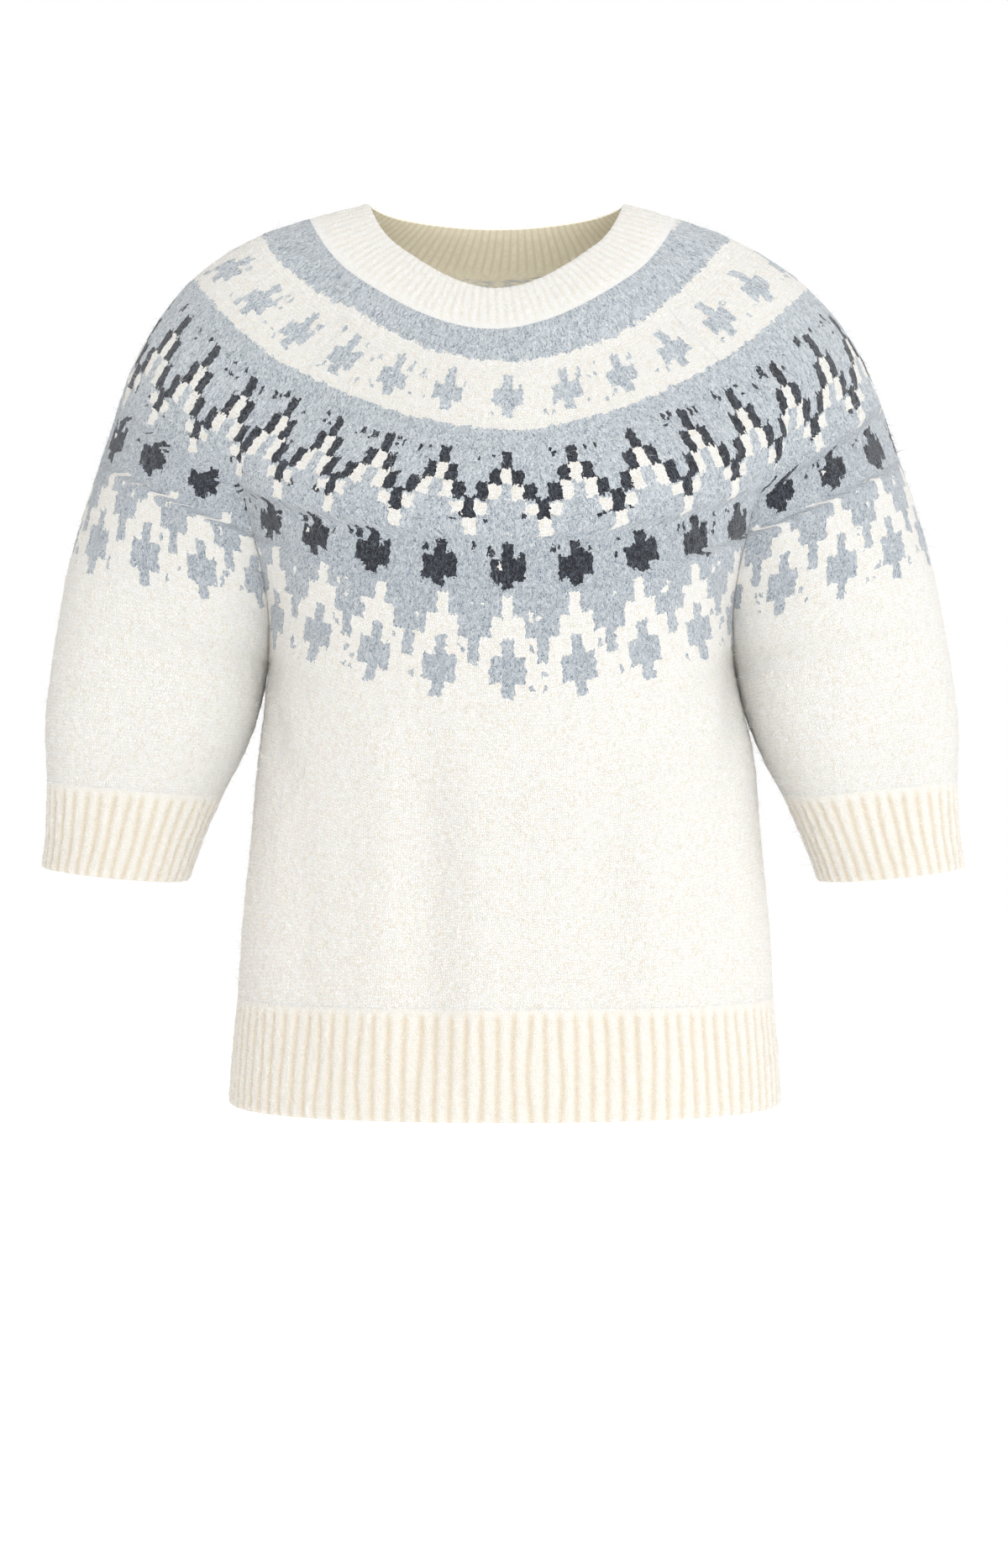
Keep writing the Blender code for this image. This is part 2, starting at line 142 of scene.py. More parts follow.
# Half a ring from the middle of the front to the raglan seam, and below the armpit to the side seam.
# turn is the heading there in degrees: 0 runs straight across, 90 runs straight back. A fullness above 1
# squares the run off.
RING_COLUMNS = "drop centre_depth centre_z seam_x seam_depth seam_z turn fullness"
FRONT = table(
    RING_COLUMNS,
    (-0.040, 0.075, -0.0556, 0.0700, 0.0470, -0.0220, 38, 1.00),
    (0.000, 0.095, -0.0865, 0.0980, 0.0620, -0.0450, 35, 1.00),
    (0.028, 0.105, -0.1100, 0.1140, 0.0715, -0.0765, 29, 1.00),
    (0.082, 0.120, -0.1565, 0.1470, 0.0840, -0.1160, 22, 1.00),
    (0.137, 0.130, -0.1990, 0.1880, 0.0860, -0.1630, 26, 1.00),
    (0.191, 0.134, -0.2490, 0.1740, 0.0780, -0.2130, 50, 1.00),
    (0.289, 0.132, -0.3400, 0.1630, 0.0400, -0.2870, 76, 1.00),
    (0.312, 0.131, -0.3620, 0.1645, 0.0180, -0.3120, 84, 1.06),
    (0.325, 0.130, -0.3750, 0.1660, 0.0000, -0.3200, 90, 1.11),
    (0.357, 0.129, -0.4040, 0.1710, 0.0000, -0.3520, 90, 1.13),
    (0.390, 0.128, -0.4310, 0.1765, 0.0000, -0.3830, 90, 1.12),
    (0.440, 0.127, -0.4720, 0.1815, 0.0000, -0.4400, 90, 1.09),
    (0.490, 0.130, -0.5150, 0.1875, 0.0000, -0.5000, 90, 1.07),
    (0.530, 0.134, -0.5490, 0.1910, 0.0000, -0.5530, 90, 1.06),
    (0.575, 0.137, -0.5930, 0.1950, 0.0000, -0.5970, 90, 1.05),
    (0.607, 0.137, -0.6256, 0.1970, 0.0000, -0.6290, 90, 1.05),
)
BACK = table(
    RING_COLUMNS,
    (-0.040, 0.055, 0.0000, 0.0700, 0.0390, 0.0060, 40, 1.00),
    (0.000, 0.078, -0.0340, 0.1000, 0.0560, -0.0160, 38, 1.00),
    (0.028, 0.089, -0.0580, 0.1160, 0.0640, -0.0400, 30, 1.00),
    (0.082, 0.102, -0.1050, 0.1490, 0.0740, -0.0820, 22, 1.00),
    (0.137, 0.110, -0.1520, 0.1880, 0.0770, -0.1340, 26, 1.00),
    (0.191, 0.112, -0.2030, 0.1740, 0.0700, -0.1900, 48, 1.00),
    (0.289, 0.108, -0.3000, 0.1630, 0.0360, -0.2780, 76, 1.00),
    (0.312, 0.107, -0.3220, 0.1645, 0.0160, -0.3070, 84, 1.07),
    (0.325, 0.106, -0.3350, 0.1660, 0.0000, -0.3200, 90, 1.13),
    (0.357, 0.105, -0.3660, 0.1710, 0.0000, -0.3520, 90, 1.15),
    (0.390, 0.104, -0.3980, 0.1765, 0.0000, -0.3830, 90, 1.14),
    (0.440, 0.106, -0.4460, 0.1815, 0.0000, -0.4400, 90, 1.10),
    (0.490, 0.113, -0.5020, 0.1875, 0.0000, -0.5000, 90, 1.07),
    (0.530, 0.120, -0.5490, 0.1910, 0.0000, -0.5530, 90, 1.06),
    (0.575, 0.124, -0.5940, 0.1950, 0.0000, -0.5970, 90, 1.05),
    (0.607, 0.125, -0.6260, 0.1970, 0.0000, -0.6290, 90, 1.05),
)
# A sleeve's outermost line, the headings it leaves the two raglan seams with and how round it is.
SLEEVE = table(
    "drop outer_x outer_y outer_z front_turn back_turn fullness",
    (-0.040, 0.0906, -0.001, 0.0114, 38, 40, 1.00),
    (0.000, 0.1310, -0.002, 0.0000, 35, 38, 1.00),
    (0.028, 0.1640, -0.002, -0.0114, 29, 30, 1.00),
    (0.082, 0.2160, -0.003, -0.0440, 22, 22, 1.00),
    (0.137, 0.2580, -0.005, -0.1000, 20, 20, 1.00),
    (0.191, 0.2780, -0.006, -0.1550, -18, -20, 0.970),
    (0.289, 0.3080, -0.005, -0.2520, -62, -64, 0.920),
    (0.312, 0.3135, -0.004, -0.2800, -78, -80, 0.940),
    (0.325, 0.3155, -0.004, -0.2930, -90, -90, 0.955),
    (0.355, 0.3207, -0.004, -0.3270, -90, -90, 0.955),
    (0.390, 0.3245, -0.005, -0.3640, -90, -90, 0.945),
    (0.425, 0.3235, -0.006, -0.3990, -90, -90, 0.935),
    (0.460, 0.3250, -0.007, -0.4360, -90, -90, 0.925),
    (0.489, 0.3285, -0.008, -0.4610, -90, -90, 0.920),
)
# The underarm line of a sleeve below the armpit.
UNDERARM = table(
    "drop inner_x inner_y inner_z",
    (0.325, 0.1660, 0.000, -0.3200),
    (0.355, 0.1725, -0.002, -0.3500),
    (0.390, 0.1850, -0.004, -0.3830),
    (0.425, 0.1990, -0.006, -0.4100),
    (0.460, 0.2140, -0.007, -0.4440),
    (0.489, 0.2240, -0.008, -0.4720),
)
# How far the rings stand off the middle plane, and how far the yoke is turned round the neck.
HANG = table(
    "drop body sleeve twist",
    (-0.040, -0.0054, -0.0054, 0.012),
    (0.028, -0.0085, -0.0085, 0.013),
    (0.137, -0.0035, -0.0035, 0.013),
    (0.191, -0.0028, -0.0028, 0.000),
    (0.325, -0.0020, -0.0020, 0.000),
    (0.390, 0.0015, -0.0012, 0.000),
    (0.607, 0.0008, 0.0000, 0.000),
)
# Soft folds: where each starts and ends, across from -1 to 1 and down by drop, its height and width.
FOLD_COLUMNS = "across_top drop_top across_low drop_low height width"
FOLDS = {
    "front": table(
        FOLD_COLUMNS,
        (-0.22, 0.300, -0.20, 0.600, -0.0085, 0.060),
        (-0.33, 0.310, -0.31, 0.590, 0.0035, 0.060),
        (-0.09, 0.320, -0.08, 0.600, 0.0035, 0.070),
        (0.30, 0.330, 0.26, 0.590, -0.0055, 0.060),
        (0.43, 0.340, 0.38, 0.590, 0.0030, 0.060),
        (-0.62, 0.400, -0.55, 0.600, -0.0030, 0.050),
        (0.66, 0.380, 0.60, 0.600, -0.0025, 0.060),
        (-0.93, 0.300, -0.66, 0.400, -0.0040, 0.060),
        (0.93, 0.300, 0.68, 0.400, -0.0040, 0.060),
    ),
    "back": table(
        FOLD_COLUMNS,
        (0.24, 0.280, 0.18, 0.600, -0.0060, 0.060),
        (0.10, 0.300, 0.07, 0.590, 0.0025, 0.070),
        (-0.28, 0.300, -0.24, 0.600, -0.0045, 0.060),
        (-0.42, 0.330, -0.38, 0.590, 0.0022, 0.060),
        (0.62, 0.380, 0.56, 0.600, -0.0030, 0.055),
        (-0.64, 0.400, -0.60, 0.600, -0.0028, 0.060),
        (0.93, 0.290, 0.66, 0.400, -0.0040, 0.060),
        (-0.93, 0.290, -0.66, 0.400, -0.0040, 0.060),
    ),
    "sleeve_left": table(
        FOLD_COLUMNS,
        (0.62, 0.200, 0.42, 0.460, -0.0040, 0.110),
        (0.25, 0.260, 0.22, 0.470, 0.0030, 0.100),
        (-0.35, 0.230, -0.52, 0.460, -0.0040, 0.110),
    ),
    "sleeve_right": table(
        FOLD_COLUMNS,
        (-0.35, 0.330, -0.50, 0.470, -0.0045, 0.090),
        (-0.68, 0.300, -0.72, 0.470, 0.0030, 0.090),
        (0.40, 0.240, 0.50, 0.460, -0.0040, 0.110),
    ),
}

# The yoke's chart, painted in order. ink is 0 white, 1 blue, 2 dark. A motif has six cells to its repeat:
# centre and half are in cells, top and low are drops in millimetres, and 0 repeats fills the whole row.
# chance is the share of a motif's stitches that are worked.
CHART = table(
    "ink repeats centre half top low chance",
    (1, 0, 0, 0, -1, 28.7, 1),
    (1, 25, 0, 0.5, 38.9, 72.6, 1),
    (1, 25, 0, 1.5, 49, 63.1, 1),
    (1, 25, 1.5, 0.4, 40, 49, 0.3),
    (1, 25, -1.5, 0.4, 63, 72, 0.25),
    (1, 25, 3, 1.2, 40, 50, 0.07),
    (1, 25, 3, 1.2, 63, 74, 0.08),
    (1, 0, 0, 0, 82.3, 261, 1),
    (2, 30, 0, 0.5, 102.6, 118, 1),
    (2, 30, -1, 0.5, 117.2, 131.2, 1),
    (2, 30, 1, 0.5, 117.2, 131.2, 1),
    (2, 30, -2, 0.5, 130.5, 145, 1),
    (2, 30, 2, 0.5, 130.5, 145, 1),
    (2, 30, 3, 0.5, 143, 157.5, 1),
    (2, 30, 3, 2, 103, 111, 0.1),
    (2, 30, -1.6, 0.4, 100, 108, 0.22),
    (2, 30, 3, 1.7, 152, 160, 0.1),
    (0, 30, 0, 0.5, 118, 132, 1),
    (0, 30, -1, 0.5, 132.5, 145, 1),
    (0, 30, 1, 0.5, 132.5, 145, 1),
    (0, 30, -2, 0.5, 146, 156, 1),
    (0, 30, 2, 0.5, 146, 156, 1),
    (0, 30, 3, 0.5, 158.5, 171.6, 1),
    (2, 30, 0, 0.56, 176, 208, 1),
    (2, 30, 0, 1.6, 186, 201, 1),
    (2, 30, 1, 0.5, 182.5, 187, 0.6),
    (2, 30, -1, 0.5, 200, 204, 0.5),
    (2, 30, -1.6, 0.4, 178, 185, 0.3),
    (2, 30, 3, 1.3, 176, 192, 0.04),
    (0, 30, -0.8, 0.2, 189, 193, 0.12),
    (0, 33, 0, 0.5, 212.5, 228.6, 1),
    (0, 33, 0, 1.5, 227.4, 243.7, 1),
    (0, 33, 0, 2.5, 243.7, 261, 1),
    (0, 33, 3, 1.5, 217, 232, 0.05),
    (1, 33, 0, 0.5, 243.7, 288.5, 1),
    (1, 33, 0, 1.5, 257.7, 276.5, 1),
    (1, 33, 3, 1.2, 264, 284, 0.06),
    (1, 33, 1.8, 0.4, 248, 260, 0.18),
)
CELLS = 6
# The chart's middle stands at this x on the front.
CHART_X = 0.0024
# How far the knitting has ridden up and slid round, in millimetres, at places round the front of the yoke.
PLACES = (
    "drop outer_left sleeve_left body_left quarter_left middle "
    "quarter_right body_right sleeve_right outer_right"
)
LIFTS = table(
    PLACES,
    (0.029, 0, 12, 12, 8, 0, 2, 4, 4, -4),
    (0.056, -1, 8, 8, 6, 0, 1, 2, 1, -12),
    (0.110, 10, 12, 14, 11, -1, 10, 9, 8, -4),
    (0.150, 4, 10, 4, 6, -1, 1, 3, 7, -5),
    (0.191, 2, 16, 5, 3, -1, -1, -3, 10, -2),
    (0.265, 1, 10, -20, -10, -1, -13, -21, -3, 4),
)
SLIDES = table(
    PLACES,
    (0.029, 0, 0, 0, 0, 0, 0, 0, 0, 0),
    (0.056, 0, 0, 0, 0, 0, 0, 4, 3, 6),
    (0.110, 10, 8, 4, -4, 0, 10, 6, 6, 6),
    (0.150, 12, 2, -6, -16, 0, 18, 4, -7, -3),
    (0.168, 12, 2, -6, -16, 0, 18, 4, -7, -3),
    (0.176, 2, -5, 15, 0, 0, 0, -16, -19, -31),
    (0.207, 2, -5, 15, 0, 0, 0, -16, -19, -31),
    (0.214, -15, -27, 0, 0, 0, 5, 5, 5, -8),
    (0.265, -15, -27, 0, 0, 0, 5, 5, 5, -8),
)
# Where those places lie along each piece's run, as shares of it. Nothing has moved where it is still.
STATIONS = {
    "front": dict(body_left=0.0, quarter_left=0.2, middle=0.5, quarter_right=0.8, body_right=1.0),
    "sleeve_right": dict(sleeve_right=0.0, outer_right=0.45, still=1.0),
    "back": dict(still=0.0),
    "sleeve_left": dict(still=0.0, outer_left=0.55, sleeve_left=1.0),
}

# Stitches round the whole yoke from each of its increase rounds on, and across one panel below them.
ROUNDS = table("drop stitches", (0.000, 360), (0.034, 450), (0.078, 540), (0.209, 594))
BODY_STITCHES = 166
SLEEVE_STITCHES = 156
LAST_ROUND = 0.291


def between(knots, values, at):
    """A smooth curve through a table's column that never overshoots, and runs on straight past its ends."""
    step = np.diff(knots)
    slope = np.diff(values) / step
    before, after = slope[:-1], slope[1:]
    agree = before * after > 0
    rate = np.zeros(len(knots))
    rate[0], rate[-1] = slope[0], slope[-1]
    safe_before = np.where(agree, before, 1)
    safe_after = np.where(agree, after, 1)
    weight_before = 2 * step[1:] + step[:-1]
    weight_after = step[1:] + 2 * step[:-1]
    mean = (weight_before + weight_after) / (weight_before / safe_before + weight_after / safe_after)
    rate[1:-1] = np.where(agree, mean, 0)
    inside = np.clip(at, knots[0], knots[-1])
    past = (at - inside) * np.where(at < knots[0], rate[0], rate[-1])
    i = np.clip(np.searchsorted(knots, inside) - 1, 0, len(step) - 1)
    t = (inside - knots[i]) / step[i]
    rise = step[i] * (t * (1 - t) ** 2 * rate[i] - t * t * (1 - t) * rate[i + 1])
    blend = t * t * (3 - 2 * t)
    return values[i] + (values[i + 1] - values[i]) * blend + rise + past


def row_of(source, drop):
    """A table's values at one drop."""
    return {
        name: float(between(source["drop"], values, drop))
        for name, values in source.items()
        if name != "drop"
    }


def cubic(start, start_handle, end_handle, end):
    """Points along a cubic Bezier curve."""
    t = np.linspace(0, 1, ARC_STEPS + 1)[:, None]
    return (
        (1 - t) ** 3 * start
        + 3 * (1 - t) ** 2 * t * start_handle
        + 3 * (1 - t) * t * t * end_handle
        + t**3 * end
    )


def heading(degrees, rise=0.0):
    """A step in x, depth and z that heads across at 0 degrees and inward at 90."""
    angle = np.radians(degrees)
    return np.array((np.cos(angle), -np.sin(angle), rise * np.cos(angle)))


def ring_slope(body, sleeve, side, drop):
    """How fast a ring climbs where it crosses the raglan seam, easing off to level at the armpit."""
    outer_depth = side * sleeve["outer_y"]
    inner = np.hypot(body["seam_x"], body["centre_depth"] - body["seam_depth"])
    outer = np.hypot(sleeve["outer_x"] - body["seam_x"], body["seam_depth"] - outer_depth)
    inner_slope = 2 * (body["seam_z"] - body["centre_z"]) / inner
    slope = (inner_slope + (sleeve["outer_z"] - body["seam_z"]) / outer) / 2
    left = np.clip((ARMPIT - drop) / SLOPE_EASE, 0, 1)
    return slope * left * left * (3 - 2 * left)


def body_arc(source, side, drop):
    """Half a ring's run over the front (side -1) or the back (side 1), from the middle to the seam."""
    body = row_of(source, drop)
    slope = ring_slope(body, row_of(SLEEVE, drop), side, drop)
    start = np.array((0, body["centre_depth"], body["centre_z"]))
    end = np.array((body["seam_x"], body["seam_depth"], body["seam_z"]))
    turn = np.radians(body["turn"])
    reach = 4 / 3 * np.tan(turn / 4) / np.sin(turn) * body["fullness"]
    across = end[0]
    back = across * np.cos(turn) + (start[1] - end[1]) * np.sin(turn)
    start_handle = start + heading(0) * reach * across
    end_handle = end - heading(body["turn"], slope) * reach * back
    return cubic(start, start_handle, end_handle, end) * (1, side, 1)


def sleeve_arc(source, side, drop):
    """A ring's run over a sleeve, from the seam or the underarm line to the outer line."""
    sleeve = row_of(SLEEVE, drop)
    if drop < ARMPIT:
        body = row_of(source, drop)
        slope = ring_slope(body, sleeve, side, drop)
        start = np.array((body["seam_x"], body["seam_depth"], body["seam_z"]))
    else:
        inner = row_of(UNDERARM, drop)
        slope = 0
        start = np.array((inner["inner_x"], side * inner["inner_y"], inner["inner_z"]))
    end = np.array((sleeve["outer_x"], side * sleeve["outer_y"], sleeve["outer_z"]))
    turn = sleeve["front_turn"] if side < 0 else sleeve["back_turn"]
    bend = np.radians(90 - turn)
    chord = np.linalg.norm(end[:2] - start[:2])
    reach = chord * 2 / 3 * np.tan(bend / 4) / np.sin(bend / 2) * sleeve["fullness"]
    start_handle = start + heading(turn, slope) * reach
    end_handle = end - heading(90) * reach
    return cubic(start, start_handle, end_handle, end) * (1, side, 1)


def lengths_of(line):
    """The length of a line up to each of its points."""
    return np.concatenate(([0], np.cumsum(np.linalg.norm(np.diff(line, axis=0), axis=1))))


def along(line, shares, shift=0.0, length=None):
    """Points at shares of a line's length, or of the given length, from the shift on."""
    lengths = lengths_of(line)
    at = shift + shares * (lengths[-1] if length is None else length)
    return np.stack([np.interp(at, lengths, line[:, k]) for k in range(3)], axis=1)


def mirrored(points):
    """The same run on the other side, turned so that it still goes round the same way."""
    return (points * (-1, 1, 1))[::-1]


def runs_at(drop):
    """A row's four runs in order round the garment: front, right sleeve, back and left sleeve."""
    front, back = body_arc(FRONT, -1, drop), body_arc(BACK, 1, drop)
    sleeve = np.concatenate((sleeve_arc(FRONT, -1, drop), sleeve_arc(BACK, 1, drop)[::-1][1:]))
    hang = row_of(HANG, drop)
    body_lean, sleeve_lean = (hang["body"], 0, 0), (hang["sleeve"], 0, 0)
    return {
        "front": np.concatenate((mirrored(front), front[1:])) + body_lean,
        "sleeve_right": sleeve + sleeve_lean,
        "back": np.concatenate((back[::-1], mirrored(back[::-1])[1:])) + body_lean,
        "sleeve_left": mirrored(sleeve) + sleeve_lean,
    }


def twist_at(drop):
    """How far the runs' ends slide round the ring."""
    return row_of(HANG, drop)["twist"] if drop < ARMPIT else 0.0


def run(name, drop, shares):
    """Points of one piece's run at a drop."""
    runs = runs_at(drop)
    line = runs[name]
    order = list(runs)
    beyond = runs[order[(order.index(name) + 1) % len(order)]]
    twist = twist_at(drop)
    if twist <= 0:
        return along(line, shares)
    return along(np.concatenate((line, beyond[1:])), shares, twist, lengths_of(line)[-1])


def moved(source, name, drops, shares):
    """How far a table of movements takes each point of a piece, in metres."""
    at = np.clip(drops, source["drop"][0], source["drop"][-1])
    still = np.zeros(len(source["drop"]))
    moves = [source.get(place, still) / MM_PER_M for place in STATIONS[name]]
    columns = [between(source["drop"], values, at) for values in moves]
    stations = list(STATIONS[name].values())
    return np.array([np.interp(shares, stations, row) for row in np.stack(columns, axis=1)])


def chart_places(name, drops, shares):
    """Each point's turns round the yoke from the chart's middle, and its drop in the chart."""
    turns = []
    slides = moved(SLIDES, name, drops, shares)
    for drop, slide in zip(drops, slides):
        length = {key: lengths_of(line)[-1] for key, line in runs_at(drop).items()}
        start = {
            "front": -length["front"] / 2,
            "sleeve_right": length["front"] / 2,
            "back": length["front"] / 2 + length["sleeve_right"],
            "sleeve_left": -length["front"] / 2 - length["sleeve_left"],
        }[name]
        middle = CHART_X - row_of(HANG, drop)["body"]
        arc = start + twist_at(drop) - middle + shares * length[name] - slide
        turns.append(arc / sum(length.values()))
    return np.array(turns), drops[:, None] + moved(LIFTS, name, drops, shares)


def unit(vectors):
    """The same directions, each of length 1."""
    return vectors / np.linalg.norm(vectors, axis=-1, keepdims=True)


def grid_normals(points, closed):
    """Unit normals of a grid of rows, facing out of the garment."""
    down = np.gradient(points, axis=0, edge_order=2)
    if closed:
        across = np.roll(points, -1, axis=1) - np.roll(points, 1, axis=1)
    else:
        across = np.gradient(points, axis=1, edge_order=2)
    return unit(np.cross(down, across))


def fold_heights(name, shares, drops):
    """How far the folds raise or sink each point of a piece."""
    folds = FOLDS[name]
    across = 2 * shares - 1
    heights = np.zeros((len(drops), len(shares)))
    for k in range(len(folds["height"])):
        top, low = folds["drop_top"][k], folds["drop_low"][k]
        t = np.clip((drops - top) / (low - top), 0, 1)
        line = folds["across_top"][k] + t * (folds["across_low"][k] - folds["across_top"][k])
        height = folds["height"][k] * (4 * t * (1 - t)) ** FOLD_FADE
        offset = (across - line[:, None]) / folds["width"][k]
        heights += height[:, None] * np.exp(-offset * offset / 2)
    return heights * (1 - across**8)


def eased(points, drops):
    """The same grid with its rows drawn together smoothly where the yoke ends at the armpit."""
    reach = int(EASE_REACH / (drops[1] - drops[0]))
    kernel = np.hanning(2 * reach + 3)[1:-1]
    padded = np.pad(points, ((reach, reach), (0, 0), (0, 0)), mode="reflect", reflect_type="odd")
    smooth = sum(share * padded[k : k + len(points)] for k, share in enumerate(kernel / kernel.sum()))
    weight = np.exp(-(((drops - ARMPIT) / EASE_WIDTH) ** 2))[:, None, None]
    return points + (smooth - points) * weight


def surface(row, drops, closed=False, heights=None):
    """The points and the normals of a grid of rows, raised by some heights."""
    points = eased(np.array([row(drop) for drop in drops]), drops)
    out = grid_normals(points, closed)
    if heights is None:
        return points, out
    points = points + out * heights[:, :, None]
    return points, grid_normals(points, closed)


def soft_noise(shape, grain, closed, rng):
    """Smooth random numbers about 0 over a grid, with lumps a few points wide."""
    rows, columns = shape
    spot = rng.normal(size=(rows + 2 * grain, columns + (0 if closed else 2 * grain)))
    kernel = np.hanning(grain + 2)[1:-1]
    kernel /= np.sqrt((kernel**2).sum())

    def blurred(line):
        if closed:
            wrapped = np.concatenate((line[-grain:], line, line[:grain]))
            return np.convolve(wrapped, kernel, "same")[grain:-grain]
        return np.convolve(line, kernel, "same")

    spot = np.apply_along_axis(lambda line: np.convolve(line, kernel, "same"), 0, spot)
    spot = np.apply_along_axis(blurred, 1, spot)
    first = 0 if closed else grain
    return spot[grain : grain + rows, first : first + columns]


def corners_of(values):
    """A grid's values at the four corners of each of its faces."""
    return np.stack((values[:-1, :-1], values[1:, :-1], values[1:, 1:], values[:-1, 1:]), axis=2)


def panel_stitches(name, turns, depths, shares):
    """Stitches across and rows down at each face's corners, and how many stitches its round has."""
    middle = corners_of(depths).mean(axis=2)
    in_yoke = middle < LAST_ROUND
    last_start = np.clip(np.searchsorted(ROUNDS["drop"], middle) - 1, 0, None)
    count = np.where(in_yoke, ROUNDS["stitches"][last_start], 1)
    across = SLEEVE_STITCHES if name.startswith("sleeve") else BODY_STITCHES
    plain = np.broadcast_to(shares * across, turns.shape)
    round_the_yoke = corners_of(turns) * count[:, :, None] + 0.5
    stitches = np.where(in_yoke[:, :, None], round_the_yoke, corners_of(plain))
    return np.stack((stitches, corners_of(depths) / ROW), axis=3), count


def added(name, data):
    """A new object in the scene."""
    made = bpy.data.objects.new(name, data)
    bpy.context.scene.collection.objects.link(made)
    return made


def new_object(name, vertices, faces, smooth=True):
    """A mesh object in the scene."""
    mesh = bpy.data.meshes.new(name)
    mesh.from_pydata(vertices, [], faces)
    mesh.polygons.foreach_set("use_smooth", [smooth] * len(mesh.polygons))
    return added(name, mesh)


def add_attribute(obj, name, values):
    """Stores one number on each vertex."""
    layer = obj.data.attributes.new(name, "FLOAT", "POINT")
    layer.data.foreach_set("value", np.asarray(values, np.float32))


def grid_quads(rows, columns, closed, first=0, inward=False):
    """The corner indices of a grid's quads."""
    r, c = np.meshgrid(np.arange(rows - 1), np.arange(columns if closed else columns - 1), indexing="ij")
    right = (c + 1) % columns
    corners = [r * columns + c, (r + 1) * columns + c, (r + 1) * columns + right, r * columns + right]
    quads = first + np.stack(corners, axis=2).reshape(-1, 4)
    return quads[:, ::-1] if inward else quads


def rim(count, outer_points, inner_points):
    """Faces that join every inner step of an edge to the outer points alongside it."""
    faces = []
    step = (len(outer_points) - 1) // (len(inner_points) - 1)
    for k in range(len(inner_points) - 1):
        outer = list(outer_points[k * step : (k + 1) * step + 1])
        faces.append(outer + [count + inner_points[k + 1], count + inner_points[k]])
    return faces


def shell(name, outer, inner, closed):
    """A walled piece between an outer grid and a coarser inner one, closed along its edges."""
    rows, columns = outer.shape[:2]
    inner_rows, inner_columns = inner.shape[:2]
    count = rows * columns
    outer_quads = grid_quads(rows, columns, closed)
    inner_quads = grid_quads(inner_rows, inner_columns, closed, count, inward=True)
    wrap = [0] if closed else []
    top = list(range(columns)) + wrap
    inner_top = list(range(inner_columns)) + wrap
    low = [(rows - 1) * columns + c for c in top]
    inner_low = [(inner_rows - 1) * inner_columns + c for c in inner_top]
    rims = [face[::-1] for face in rim(count, low, inner_low)]
    rims += rim(count, top, inner_top)
    if not closed:
        left, inner_left = np.arange(rows) * columns, np.arange(inner_rows) * inner_columns
        rims += [face[::-1] for face in rim(count, left, inner_left)]
        right, inner_right = left + columns - 1, inner_left + inner_columns - 1
        rims += rim(count, right, inner_right)
    rims = [[int(i) for i in face] for face in rims]
    points = np.concatenate((outer.reshape(-1, 3), inner.reshape(-1, 3)))
    made = new_object(name, points, outer_quads.tolist() + inner_quads.tolist() + rims)
    used = np.zeros(len(made.data.polygons), int)
    used[len(outer_quads) :] = 1
    made.data.polygons.foreach_set("material_index", used)
    made.data.set_sharp_from_angle(angle=RIM_ANGLE)
    return made


def add_knit_map(obj, places, count=None):
    """The map that counts stitches across and rows down on a piece's outer grid."""
    layer = obj.data.uv_layers.new(name="knit", do_init=False)
    everything = np.zeros((len(obj.data.loops), 2), np.float32)
    everything[: places.size // 2] = places.reshape(-1, 2)
    layer.uv.foreach_set("vector", everything.ravel())
    if count is not None:
        values = np.ones(len(obj.data.polygons), np.float32)
        values[: count.size] = count.ravel()
        obj.data.attributes.new("count", "FLOAT", "FACE").data.foreach_set("value", values)


def area_of(points, closed):
    """The area of a grid of rows."""
    if closed:
        points = np.concatenate((points, points[:, :1]), axis=1)
    first = np.cross(points[1:, :-1] - points[:-1, :-1], points[1:, 1:] - points[:-1, :-1])
    second = np.cross(points[1:, 1:] - points[:-1, :-1], points[:-1, 1:] - points[:-1, :-1])
    return (np.linalg.norm(first, axis=2) + np.linalg.norm(second, axis=2)).sum() / 2


# Lumps to a metre: where stitches are shaken, in the yarn's grain and lumps, and on the inside.
SHAKE_SCALE = 240
FINE_SCALE = 1100
LUMP_SCALE = 330
INSIDE_SCALE = 700
FLOAT_SCALE = (130, 130, 620)
NOISE_DETAIL = 3.0
# Fibres across and along one stitch.
STREAKS = (5.0, 1.2)
# How far a stitch's shape and its colour are shaken: across in stitches, and down in rows.
SHAPE_SHAKE = (0.3, 0.5)
COLOUR_SHAKE = (0.65, 1.1)
# How round a stitch's leg is along and over it, and how high lumps and grain stand on it.
ALONG_POWER = 0.6
OVER_POWER = 0.5
LUMP_RELIEF = 1.8
FINE_RELIEF = 0.6
# What the yarn's grain, its fibres and a stitch's luck add to how light dyed yarn is.
GRAIN_SHARE = 0.9
FIBRE_SHARE = 0.7
LUCK_SHARE = 0.24
# Fibres take the chart's colours as if every stitch had this luck.
FUZZ_LUCK = 0.5

# Ranges for spread: a low and a high value and, where they aren't 0 and 1, what those become.
NOISE_RANGE = (0.25, 0.75)
LUMP_RANGE = (*NOISE_RANGE, 0.3, 1.3)
GAP_SHADE_RANGE = (0.05, 0.50)
SPECK_RANGE = (0.36, 0.58)
PALE_BLUE_RANGE = (0.92, 1.18)
DEEP_BLUE_RANGE = (0.68, 0.88, 1.0, 0.0)
LOW_BLUE_RANGE = (0.14, 0.20, 0.0, 0.16)
SLATE_RANGE = (0.80, 1.20)
FLOAT_RANGE = (0.42, 0.60, 0.10, 0.85)
GROOVE_RANGE = (0.0, 1.0, 0.0, 0.75)
INNER_GROOVE_RANGE = (0.05, 0.80, 0.0, 0.6)
INNER_PATCH_RANGE = (0.35, 0.70, 0.35, 0.0)
# How tan the painted shade between stitches and the random specks get in the panels and in the ribs.
PANEL_TAN = 0.6
RIB_TAN = 0.35

